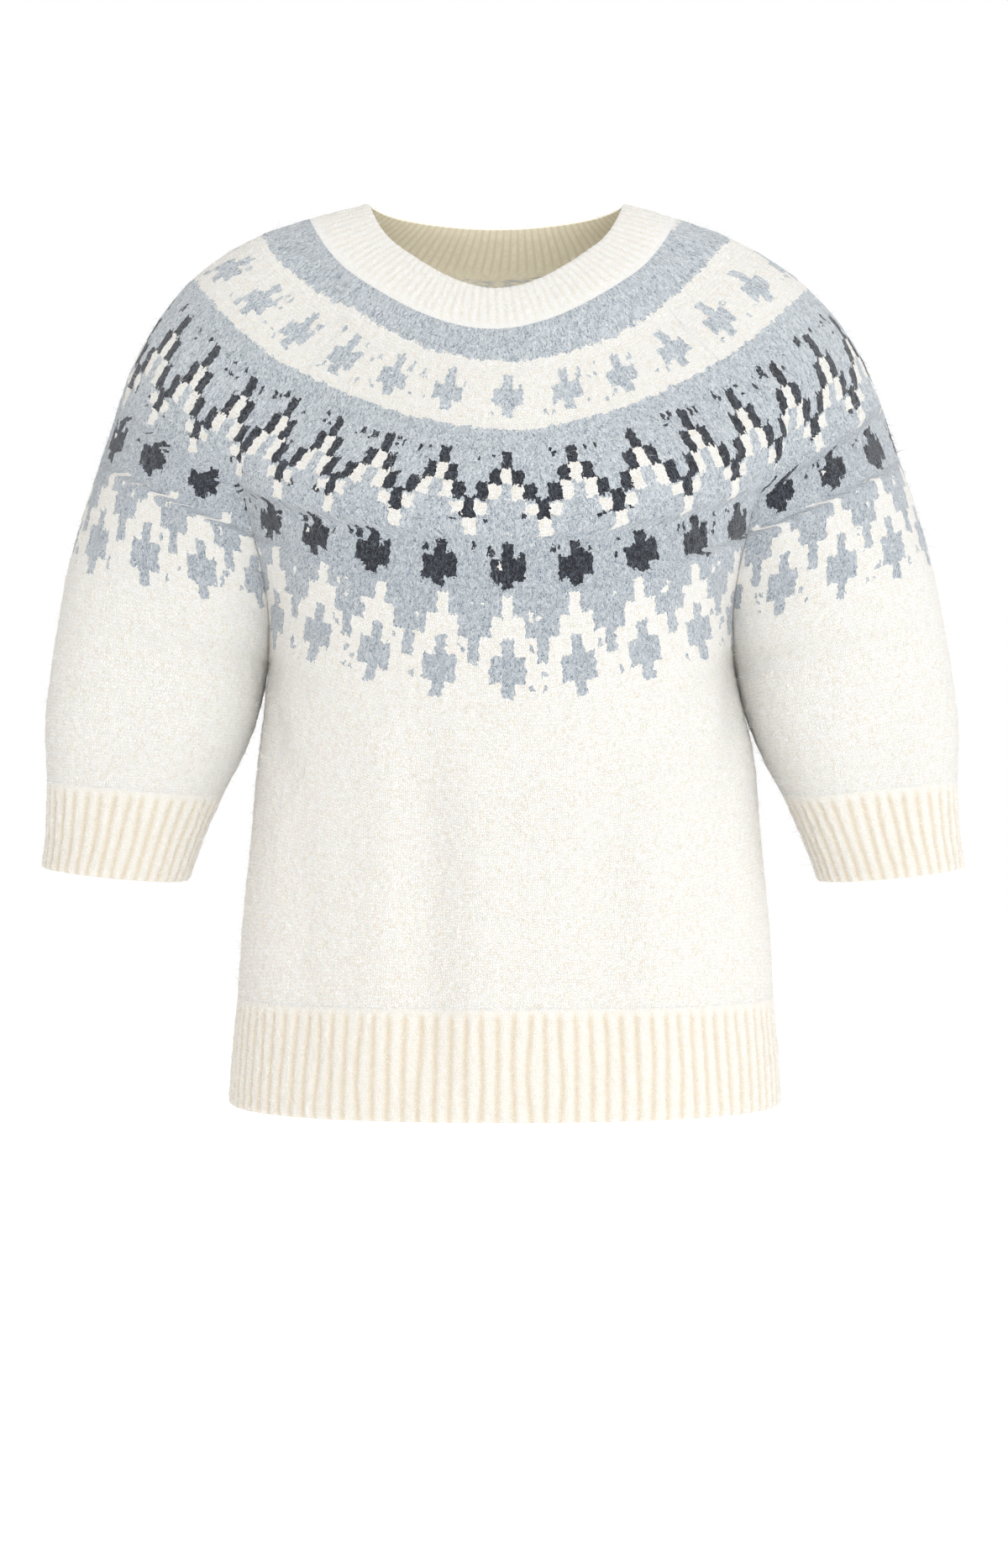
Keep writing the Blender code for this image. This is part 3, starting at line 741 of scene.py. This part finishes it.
# The finish of all yarn, and of each kind of it.
SPECULAR = 0.15
SHEEN_ROUGHNESS = 0.5
THROUGH_RADIUS = (1.0, 0.75, 0.5)
THROUGH_SCALE = 0.006
OUTER_WOOL = {"roughness": 0.92, "sheen": 0.35, "through": 0.2}
INNER_WOOL = {"roughness": 0.95, "sheen": 0.15}
INNER_RIB_WOOL = {"roughness": 0.95, "sheen": 0.2}
FUZZ_WOOL = {"roughness": 0.8, "sheen": 0.2}


class Graph:
    """Builds one material's nodes, each from its kind, its settings and what its sockets take."""

    def __init__(self, name):
        self.material = bpy.data.materials.new(name)
        self.material.use_nodes = True
        self.tree = self.material.node_tree
        self.shader = self.tree.nodes["Principled BSDF"]

    def put(self, socket, value):
        if hasattr(value, "is_output"):
            self.tree.links.new(value, socket)
        else:
            socket.default_value = value

    def node(self, kind, inputs=None, **settings):
        made = self.tree.nodes.new("ShaderNode" + kind)
        for key, value in settings.items():
            setattr(made, key, value)
        for key, value in (inputs or {}).items():
            self.put(made.inputs[key], value)
        return made

    def math(self, operation, *values):
        return self.node("Math", dict(enumerate(values)), operation=operation).outputs[0]

    def times(self, first, second):
        return self.math("MULTIPLY", first, second)

    def attribute(self, name):
        return self.node("Attribute", attribute_name=name).outputs["Fac"]

    def noise(self, vector, scale, roughness):
        inputs = {"Vector": vector, "Scale": scale, "Detail": NOISE_DETAIL, "Roughness": roughness}
        return self.node("TexNoise", inputs).outputs["Fac"]

    def spread(self, value, low, high, to_low=0.0, to_high=1.0, smooth=True):
        inputs = {"Value": value, "From Min": low, "From Max": high, "To Min": to_low, "To Max": to_high}
        kind = "SMOOTHSTEP" if smooth else "LINEAR"
        return self.node("MapRange", inputs, interpolation_type=kind).outputs["Result"]

    def mix(self, share, first, second):
        # The node's two colours are its sockets 6 and 7, and what comes out is number 2.
        return self.node("Mix", {0: share, 6: first, 7: second}, data_type="RGBA").outputs[2]

    def vector(self, x, y):
        return self.node("CombineXYZ", {"X": x, "Y": y}).outputs[0]

    def scaled(self, vector, by):
        return self.node("VectorMath", {0: vector, 1: by}, operation="MULTIPLY").outputs[0]

    def luck_at(self, x, y):
        place = self.vector(x, y)
        return self.node("TexWhiteNoise", {"Vector": place}, noise_dimensions="2D").outputs["Value"]

    def object_place(self):
        return self.node("TexCoord").outputs["Object"]

    def knit_place(self):
        made = self.node("UVMap", uv_map="knit")
        parts = self.node("SeparateXYZ", {"Vector": made.outputs["UV"]})
        return parts.outputs["X"], parts.outputs["Y"]

    def wool(self, colour, roughness, sheen, through=0.0):
        settings = {
            "Base Color": colour,
            "Roughness": roughness,
            "Specular IOR Level": SPECULAR,
            "Sheen Weight": sheen,
            "Sheen Roughness": SHEEN_ROUGHNESS,
            "Subsurface Weight": through,
            "Subsurface Radius": THROUGH_RADIUS,
            "Subsurface Scale": THROUGH_SCALE,
        }
        for key, value in settings.items():
            self.put(self.shader.inputs[key], value)
        return self.material

    def bump(self, height, strength, distance):
        inputs = {"Height": height, "Strength": strength, "Distance": distance}
        made = self.node("Bump", inputs)
        self.put(self.shader.inputs["Normal"], made.outputs["Normal"])


def srgb(red, green, blue):
    """A linear colour from 8-bit sRGB."""
    channel = np.array((red, green, blue)) / 255
    linear = np.where(channel <= 0.04045, channel / 12.92, ((channel + 0.055) / 1.055) ** 2.4)
    return (*linear, 1.0)


CREAM = srgb(239, 239, 238)
# Tan is painted shade between stitches and in the rib grooves, and the colour of random specks.
TAN_SHADE_AND_SPECKS = srgb(214, 201, 178)
BLUE_PALE = srgb(227, 230, 234)
BLUE_MIDDLE = srgb(185, 193, 200)
BLUE_DEEP = srgb(108, 118, 133)
SLATE_DEEP = srgb(24, 27, 35)
SLATE_PALE = srgb(84, 91, 103)
# The wrong side is painted light: brighter than the yarn where little light reaches it, and warm as painted
# shade.
INSIDE_WITH_PAINTED_LIGHT = srgb(253, 246, 226)
# Painted shade in the inner grooves, and the colour of patches that differ at random.
INSIDE_GROOVE_SHADE_AND_PATCH = srgb(226, 214, 186)
FLOAT_GREY = srgb(204, 207, 209)
FUZZ_CREAM = srgb(246, 243, 236)
FUZZ_GREY = srgb(150, 156, 166)


def inked(graph, turn, drop, luck):
    """Whether the yarn at a place in the chart is blue and whether it is dark, each 0 or 1."""
    blue, dark = 0.0, 0.0
    for ink, repeats, centre, half, top, low, chance in zip(*CHART.values()):
        middle, reach = (top + low) / 2 / MM_PER_M, (low - top) / 2 / MM_PER_M
        worked = graph.math("COMPARE", drop, middle, reach)
        if repeats:
            turned = graph.math("MULTIPLY_ADD", turn, repeats, -centre / CELLS)
            offset = graph.math("PINGPONG", turned, 0.5)
            near = graph.math("LESS_THAN", offset, half / CELLS)
            worked = graph.times(worked, near)
        if chance < 1:
            lucky = graph.math("LESS_THAN", luck, chance)
            worked = graph.times(worked, lucky)
        if ink == 2:
            dark = graph.math("MAXIMUM", dark, worked)
        elif ink == 1:
            blue = graph.math("MAXIMUM", blue, worked)
        else:
            left = graph.math("SUBTRACT", 1.0, worked)
            blue, dark = (graph.times(left, yarn) for yarn in (blue, dark))
    return blue, dark


class Knit(Graph):
    """A material that knows which stitch each place is in, and how high its yarn stands there."""

    def __init__(self, name):
        super().__init__(name)
        self.place = self.object_place()
        shaken = self.node("TexNoise", {"Vector": self.place, "Scale": SHAKE_SCALE, "Detail": 2.0})
        self.shakes = self.node("SeparateXYZ", {"Vector": shaken.outputs["Color"]}).outputs
        across, leg, u = self.leg_at(*SHAPE_SHAKE)
        self.drop = self.times(self.knit_place()[1], ROW)
        along_leg = self.math("SINE", self.times(self.math("FRACT", leg), np.pi))
        over_leg = self.math("SINE", self.times(across, np.pi))
        along_leg = self.math("POWER", along_leg, ALONG_POWER)
        self.height = self.times(along_leg, self.math("POWER", over_leg, OVER_POWER))
        half_column = self.math("FLOOR", self.times(u, 2.0))
        self.luck = self.luck_at(half_column, self.math("FLOOR", leg))
        streaks = (self.times(place, count) for place, count in zip((u, leg), STREAKS))
        self.streaks = self.vector(*streaks)
        self.fine = self.noise(self.place, FINE_SCALE, roughness=0.65)
        self.lumps = self.noise(self.place, LUMP_SCALE, roughness=0.6)

    def leg_at(self, slip, rise):
        """How far across its stitch a place is, how far up its leg, and stitches across, all shaken."""
        u, v = self.knit_place()
        shake_u = self.spread(self.shakes["X"], *NOISE_RANGE, -slip, slip, smooth=False)
        u = self.math("ADD", u, shake_u)
        shake_v = self.spread(self.shakes["Y"], *NOISE_RANGE, -rise, rise, smooth=False)
        v = self.math("ADD", v, shake_v)
        across = self.times(self.math("PINGPONG", u, 0.5), 2.0)
        return across, self.math("MULTIPLY_ADD", across, LEG_RISE, v), u

    def inks(self):
        """Whether the stitch here is blue and whether it is dark, with ragged edges between stitches."""
        _, leg, u = self.leg_at(*COLOUR_SHAKE)
        column, row = self.math("FLOOR", u), self.math("FLOOR", leg)
        turn = self.math("DIVIDE", column, self.attribute("count"))
        drop = self.math("MULTIPLY_ADD", row, ROW, ROW * (1 - LEG_RISE) / 2)
        pair = self.math("FLOOR", self.times(row, 0.5))
        return inked(self, turn, drop, self.luck_at(column, pair))

    def rough(self, strength, distance):
        """The bumps of brushed boucle yarn."""
        height = self.math("MULTIPLY_ADD", self.lumps, LUMP_RELIEF, self.height)
        height = self.math("MULTIPLY_ADD", self.fine, FINE_RELIEF, height)
        self.bump(height, strength, distance)

    def cream(self, most):
        """Cream yarn with painted shade in tan between the stitches, where their legs sink, and tan specks
        at random, each at most so tan.
        """
        level = self.times(self.height, self.spread(self.lumps, *LUMP_RANGE, smooth=False))
        # Painted shade: where a stitch's yarn stands low, between its legs, it goes tan.
        gap_shade = self.spread(level, *GAP_SHADE_RANGE, most, 0.0)
        specks = self.spread(self.times(self.luck, self.fine), *SPECK_RANGE, 0.0, most)
        return self.mix(self.math("MAXIMUM", gap_shade, specks), CREAM, TAN_SHADE_AND_SPECKS)


def wool_material():
    """Brushed boucle knit in cream, heathered blue and slate, each stitch inked from the chart."""
    knit = Knit("knit_wool")
    blue, dark = knit.inks()
    streaks = knit.times(knit.noise(knit.streaks, 1.0, roughness=0.7), FIBRE_SHARE)
    grain = knit.math("MULTIPLY_ADD", knit.fine, GRAIN_SHARE, streaks)
    grain = knit.math("MULTIPLY_ADD", knit.luck, LUCK_SHARE, grain)
    light = knit.spread(grain, *PALE_BLUE_RANGE)
    deep = knit.spread(grain, *DEEP_BLUE_RANGE)
    blues = knit.mix(deep, knit.mix(light, BLUE_MIDDLE, BLUE_PALE), BLUE_DEEP)
    blues = knit.mix(knit.spread(knit.drop, *LOW_BLUE_RANGE), blues, BLUE_DEEP)
    slate = knit.mix(knit.spread(grain, *SLATE_RANGE), SLATE_DEEP, SLATE_PALE)
    pale = knit.mix(blue, knit.cream(PANEL_TAN), blues)
    knit.rough(strength=0.65, distance=0.0014)
    return knit.wool(knit.mix(dark, pale, slate), **OUTER_WOOL)


def inside_material():
    """The wrong side of the knitting, painted brighter than the yarn for light it gets too little of and
    warm as painted shade, with yarns carried across behind the yoke.
    """
    graph = Graph("knit_inside")
    place = graph.object_place()
    floats = graph.noise(graph.scaled(place, FLOAT_SCALE), 1.0, roughness=0.6)
    rough = graph.noise(place, INSIDE_SCALE, roughness=0.6)
    seen = graph.times(graph.attribute("carried"), graph.spread(floats, *FLOAT_RANGE))
    graph.bump(graph.math("ADD", rough, floats), strength=0.5, distance=0.0009)
    return graph.wool(graph.mix(seen, INSIDE_WITH_PAINTED_LIGHT, FLOAT_GREY), **INNER_WOOL)


def rib_material():
    """Cream rib: smooth ridges of small stitches, with painted shade in tan in the grooves between them."""
    knit = Knit("rib_wool")
    groove = knit.spread(knit.attribute("groove"), *GROOVE_RANGE, smooth=False)
    # Painted shade in tan fills the grooves.
    colour = knit.mix(groove, knit.cream(RIB_TAN), TAN_SHADE_AND_SPECKS)
    knit.rough(strength=0.55, distance=0.0012)
    return knit.wool(colour, **OUTER_WOOL)


def rib_inside_material():
    """The inner side of the ribs, painted brighter than the yarn for light it gets too little of and warm
    as painted shade, with painted shade in its grooves.
    """
    knit = Knit("rib_inside")
    # Painted shade darkens the grooves, and patches that differ at random go the same colour.
    groove = knit.spread(knit.attribute("groove"), *INNER_GROOVE_RANGE)
    patches = knit.spread(knit.lumps, *INNER_PATCH_RANGE)
    height = knit.math("MULTIPLY_ADD", knit.fine, FINE_RELIEF, knit.lumps)
    knit.bump(height, strength=0.45, distance=0.0010)
    painted_light_and_shade = knit.mix(knit.math("MAXIMUM", groove, patches), INSIDE_WITH_PAINTED_LIGHT, INSIDE_GROOVE_SHADE_AND_PATCH)
    return knit.wool(painted_light_and_shade, **INNER_RIB_WOOL)


def fuzz_material():
    """Loose fibres in the colour of the yarn that they stand out of."""
    graph = Graph("fuzz_wool")
    luck = graph.attribute("luck")
    blue, dark = inked(graph, graph.attribute("turn"), graph.attribute("depth"), FUZZ_LUCK)
    cream = graph.mix(luck, CREAM, FUZZ_CREAM)
    pale = graph.mix(blue, cream, graph.mix(luck, BLUE_MIDDLE, BLUE_PALE))
    colour = graph.mix(dark, pale, graph.mix(luck, SLATE_DEEP, FUZZ_GREY))
    return graph.wool(colour, **FUZZ_WOOL)


def scattered(points, rng):
    """Picks places all over a grid: how many there are, and what reads off a grid's values there."""
    edge = points[1:, :-1] - points[:-1, :-1]
    side = points[:-1, 1:] - points[:-1, :-1]
    areas = np.linalg.norm(np.cross(edge, side), axis=2).ravel()
    count = int(areas.sum() * FUZZ_PER_M2)
    face = rng.choice(len(areas), size=count, p=areas / areas.sum())
    r, c = face // (points.shape[1] - 1), face % (points.shape[1] - 1)
    s, t = rng.random((2, count, 1))
    weights = ((1 - s) * (1 - t), s * (1 - t), (1 - s) * t, s * t)
    corners = ((r, c), (r + 1, c), (r, c + 1), (r + 1, c + 1))

    def pick(values):
        return sum(weight * values[corner] for weight, corner in zip(weights, corners))

    return count, pick


def fibres(count, root, out, rng):
    """The points of each fibre: two at each step from its root on, and one at its tip."""
    out = unit(out)
    loose = rng.normal(size=(count, 3))
    flat = unit(loose - out * (loose * out).sum(axis=1, keepdims=True))
    lift = rng.uniform(*FUZZ_LIFT, (count, 1)) ** FUZZ_LIFT_POWER
    start = unit(flat * (1 - FUZZ_STEEPENING * lift) + out * lift)
    bend = rng.normal(size=(count, 3)) * FUZZ_CURL - out * FUZZ_SAG
    length = rng.uniform(*FUZZ_LENGTH, (count, 1))
    wide = np.cross(start, rng.normal(size=(count, 3)))
    wide *= FUZZ_WIDTH / 2 / np.linalg.norm(wide, axis=1, keepdims=True)
    root = root - out * FUZZ_ROOT
    points = []
    for k in range(FUZZ_SEGMENTS):
        t = k / FUZZ_SEGMENTS
        middle = root + length * (t * start + t * t * bend)
        points += [middle - wide * (1 - t * t), middle + wide * (1 - t * t)]
    return np.stack(points + [root + length * (start + bend)], axis=1)


def fuzz_on(name, points, normals, turns, depths, rng):
    """Loose fibres standing out of a grid of points, as one joined mesh."""
    count, pick = scattered(points, rng)
    vertices = fibres(count, pick(points), pick(normals), rng)
    per = vertices.shape[1]
    first = np.arange(count)[:, None] * per
    faces = [first + np.array((0, 1, 3, 2)) + 2 * k for k in range(FUZZ_SEGMENTS - 1)]
    quads = np.stack(faces, axis=1).reshape(-1, 4).tolist()
    tips = (first + np.array((per - 3, per - 2, per - 1))).tolist()
    made = new_object(name, vertices.reshape(-1, 3), quads + tips)
    fields = {
        "turn": pick(turns[:, :, None])[:, 0],
        "depth": pick(depths[:, :, None])[:, 0],
        "luck": rng.random(count),
    }
    for field, values in fields.items():
        add_attribute(made, field, np.repeat(values, per))
    made.data.materials.append(MATERIALS["fuzz"])
    return made


MATERIALS = {
    "wool": wool_material(),
    "inside": inside_material(),
    "rib": rib_material(),
    "rib_inside": rib_inside_material(),
    "fuzz": fuzz_material(),
}


def drawn_in(distance, depth, width):
    """How far the surface is drawn in near a seam or a free edge."""
    return depth * np.exp(-((distance / width) ** 2))


def declare(piece, node, flat, area, fuzz):
    """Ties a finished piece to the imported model."""
    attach(piece, "root")
    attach(fuzz, "root")
    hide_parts(node)
    # The cap bites on the hem bands alone, and hides that HEM_FLAT is too narrow: their stated area is less
    # than what is drawn. Nothing reads the capped area.
    area = min(area, flat[0] * flat[1])


def make_panel(name):
    """The front, the back or a sleeve."""
    is_sleeve = name.startswith("sleeve")
    low = CUFF_SEAM if is_sleeve else HEM_SEAM
    rows, columns = SLEEVE_GRID if is_sleeve else BODY_GRID
    drops = np.linspace(0, low, rows + 1)
    shares = np.linspace(0, 1, columns + 1)
    rng = np.random.default_rng(SEEDS[name])
    heights = fold_heights(name, shares, drops)
    base, out = surface(lambda drop: run(name, drop, shares), drops, heights=heights)
    widths = np.array([lengths_of(line)[-1] for line in base])[:, None]
    ends = np.minimum(shares, 1 - shares) * widths
    sink = drawn_in(ends, SEAM_DEPTH, SEAM_WIDTH)
    fade = np.clip(np.minimum(ends, np.minimum(drops, low - drops)[:, None]) / BOUCLE_FADE, 0, 1)
    boucle = soft_noise(base.shape[:2], BOUCLE_GRAIN, False, rng) * BOUCLE_HEIGHT * fade
    outer = base + out * (boucle - sink)[:, :, None]
    coarse = slice(None, None, INNER_STEP)
    inner = base[coarse, coarse] - out[coarse, coarse] * WALL
    piece = shell("knit_" + name, outer, inner, False)
    carried = np.clip((CARRIED_END - drops[coarse]) / CARRIED_FADE, 0, 1).repeat(inner.shape[1])
    add_attribute(piece, "carried", np.concatenate((np.zeros(outer[:, :, 0].size), carried)))
    turns, depths = chart_places(name, drops, shares)
    add_knit_map(piece, *panel_stitches(name, turns, depths, shares))
    piece.data.materials.append(MATERIALS["wool"])
    piece.data.materials.append(MATERIALS["inside"])
    fuzz = fuzz_on("fuzz_" + name, outer, out, turns, depths, rng)
    declare(piece, name, (float(widths.max()), low), area_of(base, False), fuzz)


def rib_heights(drops, shares, band, rng):
    """How high a band stands, from 0 in a groove to 1 on a rib, and how far its ribs have risen."""
    ribs, _, groove, _, _, at_top = band
    wander = rng.normal(size=(2, ribs + 1)) * RIB_WANDER
    rib = np.floor(shares * ribs + 0.5).astype(int) % (ribs + 1)
    t = (drops - drops[0]) / (drops[-1] - drops[0])
    wave = wander[0, rib] * np.sin(2 * np.pi * t[:, None] + RIB_WAVE_SPREAD * wander[1, rib])
    from_seam = drops[-1] - drops if at_top else drops - drops[0]
    rise = np.clip(from_seam / RIB_START, 0, 1)[:, None]
    phase = shares * ribs + wave
    offset = (phase - np.round(phase)) / groove
    ridge = 1 - np.exp(-offset * offset)
    return 1 - (1 - ridge) * rise * rise * (3 - 2 * rise), rise


def make_rib(node, row, drops, band, closed, flat, folds=None):
    """A band of rib whose ridges rise out of the plain knit to its smooth surface."""
    ribs, per_rib, _, raised, groove_shade, at_top = band
    columns = ribs * per_rib + (0 if closed else 1)
    shares = np.arange(columns) / (ribs * per_rib)
    rng = np.random.default_rng(SEEDS[node])
    heights = None if folds is None else fold_heights(folds, shares, drops)
    base, out = surface(lambda drop: row(drop, shares), drops, closed, heights)
    ridge, rise = rib_heights(drops, shares, band, rng)
    from_free = drops - drops[0] if at_top else drops[-1] - drops
    edge = drawn_in(from_free, EDGE_DEPTH, EDGE_WIDTH)[:, None]
    boucle = soft_noise(base.shape[:2], BOUCLE_GRAIN, closed, rng) * BOUCLE_HEIGHT * rise
    outer = base + out * (boucle - (1 - ridge) * raised - edge)[:, :, None]
    inner_groove = NECK_INNER_GROOVE if at_top else 0
    inner_sink = RIB_WALL + RIB_RAISED - (1 - ridge) * raised * inner_groove - edge
    coarse = (slice(None, None, RIB_INNER_DOWN), slice(None, None, RIB_INNER_ACROSS))
    inner = (base - out * inner_sink[:, :, None])[coarse]
    piece = shell("rib_" + node, outer, inner, closed)
    # The groove attribute carries the painted shade of the grooves, with the broad ribs' even warmth
    # outside.
    groove_shade_and_warmth = (1 - ridge) * groove_shade + (0 if at_top else RIB_WARMTH)
    groove_shades = (groove_shade_and_warmth.ravel(), (1 - ridge)[coarse].ravel())
    add_attribute(piece, "groove", np.concatenate(groove_shades))
    places = np.arange(ribs * per_rib + 1) / per_rib * RIB_STITCHES
    stitches, rows = np.meshgrid(places, drops / ROW)
    add_knit_map(piece, np.stack((corners_of(stitches), corners_of(rows)), axis=3))
    piece.data.materials.append(MATERIALS["rib"])
    piece.data.materials.append(MATERIALS["rib_inside"])
    below = np.full(base.shape[:2], HEM_EDGE)
    fuzz = fuzz_on("fuzz_" + node, outer, out, below, below, rng)
    declare(piece, node, flat, area_of(base, closed), fuzz)


def neck_row(drop, shares):
    """Points all round the neck band at a drop."""
    lines = list(runs_at(drop).values())
    return along(np.concatenate([line[:-1] for line in lines] + [lines[0][:1]]), shares)


def make_ribs():
    """The ring of narrow rib round the neck, and the broad ribs at the hem and the cuffs."""
    drops = np.linspace(NECK_EDGE, 0, NECK_ROWS)
    make_rib("neck_rib", neck_row, drops, NECK_BAND, True, NECK_FLAT)
    drops = np.linspace(HEM_SEAM, HEM_EDGE, HEM_ROWS)
    for side in ("front", "back"):
        make_rib("hem_rib_" + side, partial(run, side), drops, HEM_BAND, False, HEM_FLAT, side)
    drops = np.linspace(CUFF_SEAM, CUFF_EDGE, CUFF_ROWS)
    for side in ("left", "right"):
        sleeve = "sleeve_" + side
        make_rib("cuff_rib_" + side, partial(run, sleeve), drops, CUFF_BAND, True, CUFF_FLAT, sleeve)


# The camera looks level along +Y, and the frame is moved down past the hem.
CAMERA_Y = -2.4
CAMERA_Z = -0.293
FRAME_HEIGHT = 1.1202
FRAME_SHIFT = -183.5 / 1867
FLOOR_Z = -1.40
FLOOR_SIZE = 16.0
SKY = (1.0, 0.975, 0.94, 1.0)
SKY_STRENGTH = 0.80
WHITE = (1, 1, 1, 1)
FLOOR_COLOUR = (0.95, 0.95, 0.95, 1)
FLOOR_GLOW = 0.4
LIGHT_COLOUR = (0.96, 0.985, 1.0)
# Each light's name, place, target, size and watts.
LIGHTS = (
    ("key", (1.3, -3.5, 0.6), (0, 0, -0.3), 2.0, 43),
    ("side", (3.6, -0.6, 0.2), (0, 0, -0.3), 1.6, 16),
    ("fill", (-0.8, -3.7, 0.1), (0, 0, -0.3), 2.4, 8),
    ("top", (0.4, -1.6, 3.2), (0, 0, -0.1), 1.8, 30),
)


def make_camera():
    """The camera at the photograph's viewing angle."""
    camera = added("camera", bpy.data.cameras.new("camera"))
    camera.location = (0, CAMERA_Y, CAMERA_Z)
    camera.rotation_euler = (np.pi / 2, 0, 0)
    camera.data.lens = camera.data.sensor_width * -CAMERA_Y / FRAME_HEIGHT
    camera.data.shift_y = FRAME_SHIFT
    bpy.context.scene.camera = camera


def make_light(name, place, target, size, watts):
    """A square area light aimed at a point."""
    light = bpy.data.lights.new(name, "AREA")
    light.size = size
    light.energy = watts
    light.color = LIGHT_COLOUR
    made = added(name, light)
    made.location = place
    way = Vector(target) - Vector(place)
    made.rotation_euler = way.to_track_quat("-Z", "Y").to_euler()


def make_floor():
    """A pale floor where a wearer would stand."""
    half = FLOOR_SIZE / 2
    corners = [(x * half, y * half, FLOOR_Z) for x, y in ((-1, -1), (1, -1), (1, 1), (-1, 1))]
    floor = new_object("floor", corners, [(0, 1, 2, 3)], smooth=False)
    graph = Graph("floor_paint")
    graph.wool(FLOOR_COLOUR, roughness=0.9, sheen=0.0)
    graph.shader.inputs["Emission Color"].default_value = WHITE
    graph.shader.inputs["Emission Strength"].default_value = FLOOR_GLOW
    floor.data.materials.append(graph.material)


def make_world():
    """A world that the camera sees as plain white, and that lights the rest as a weaker, warmer sky."""
    world = bpy.data.worlds.new("studio")
    bpy.context.scene.world = world
    world.use_nodes = True
    nodes, links = world.node_tree.nodes, world.node_tree.links
    seen = nodes["Background"]
    seen.inputs["Color"].default_value = WHITE
    sky = nodes.new("ShaderNodeBackground")
    sky.inputs["Color"].default_value = SKY
    sky.inputs["Strength"].default_value = SKY_STRENGTH
    either = nodes.new("ShaderNodeMixShader")
    rays = nodes.new("ShaderNodeLightPath")
    links.new(rays.outputs["Is Camera Ray"], either.inputs[0])
    links.new(sky.outputs["Background"], either.inputs[1])
    links.new(seen.outputs["Background"], either.inputs[2])
    links.new(either.outputs[0], nodes["World Output"].inputs["Surface"])


for panel in ("front", "back", "sleeve_left", "sleeve_right"):
    make_panel(panel)
make_ribs()
make_camera()
make_floor()
make_world()
for settings in LIGHTS:
    make_light(*settings)
bpy.context.scene.view_settings.view_transform = "Standard"
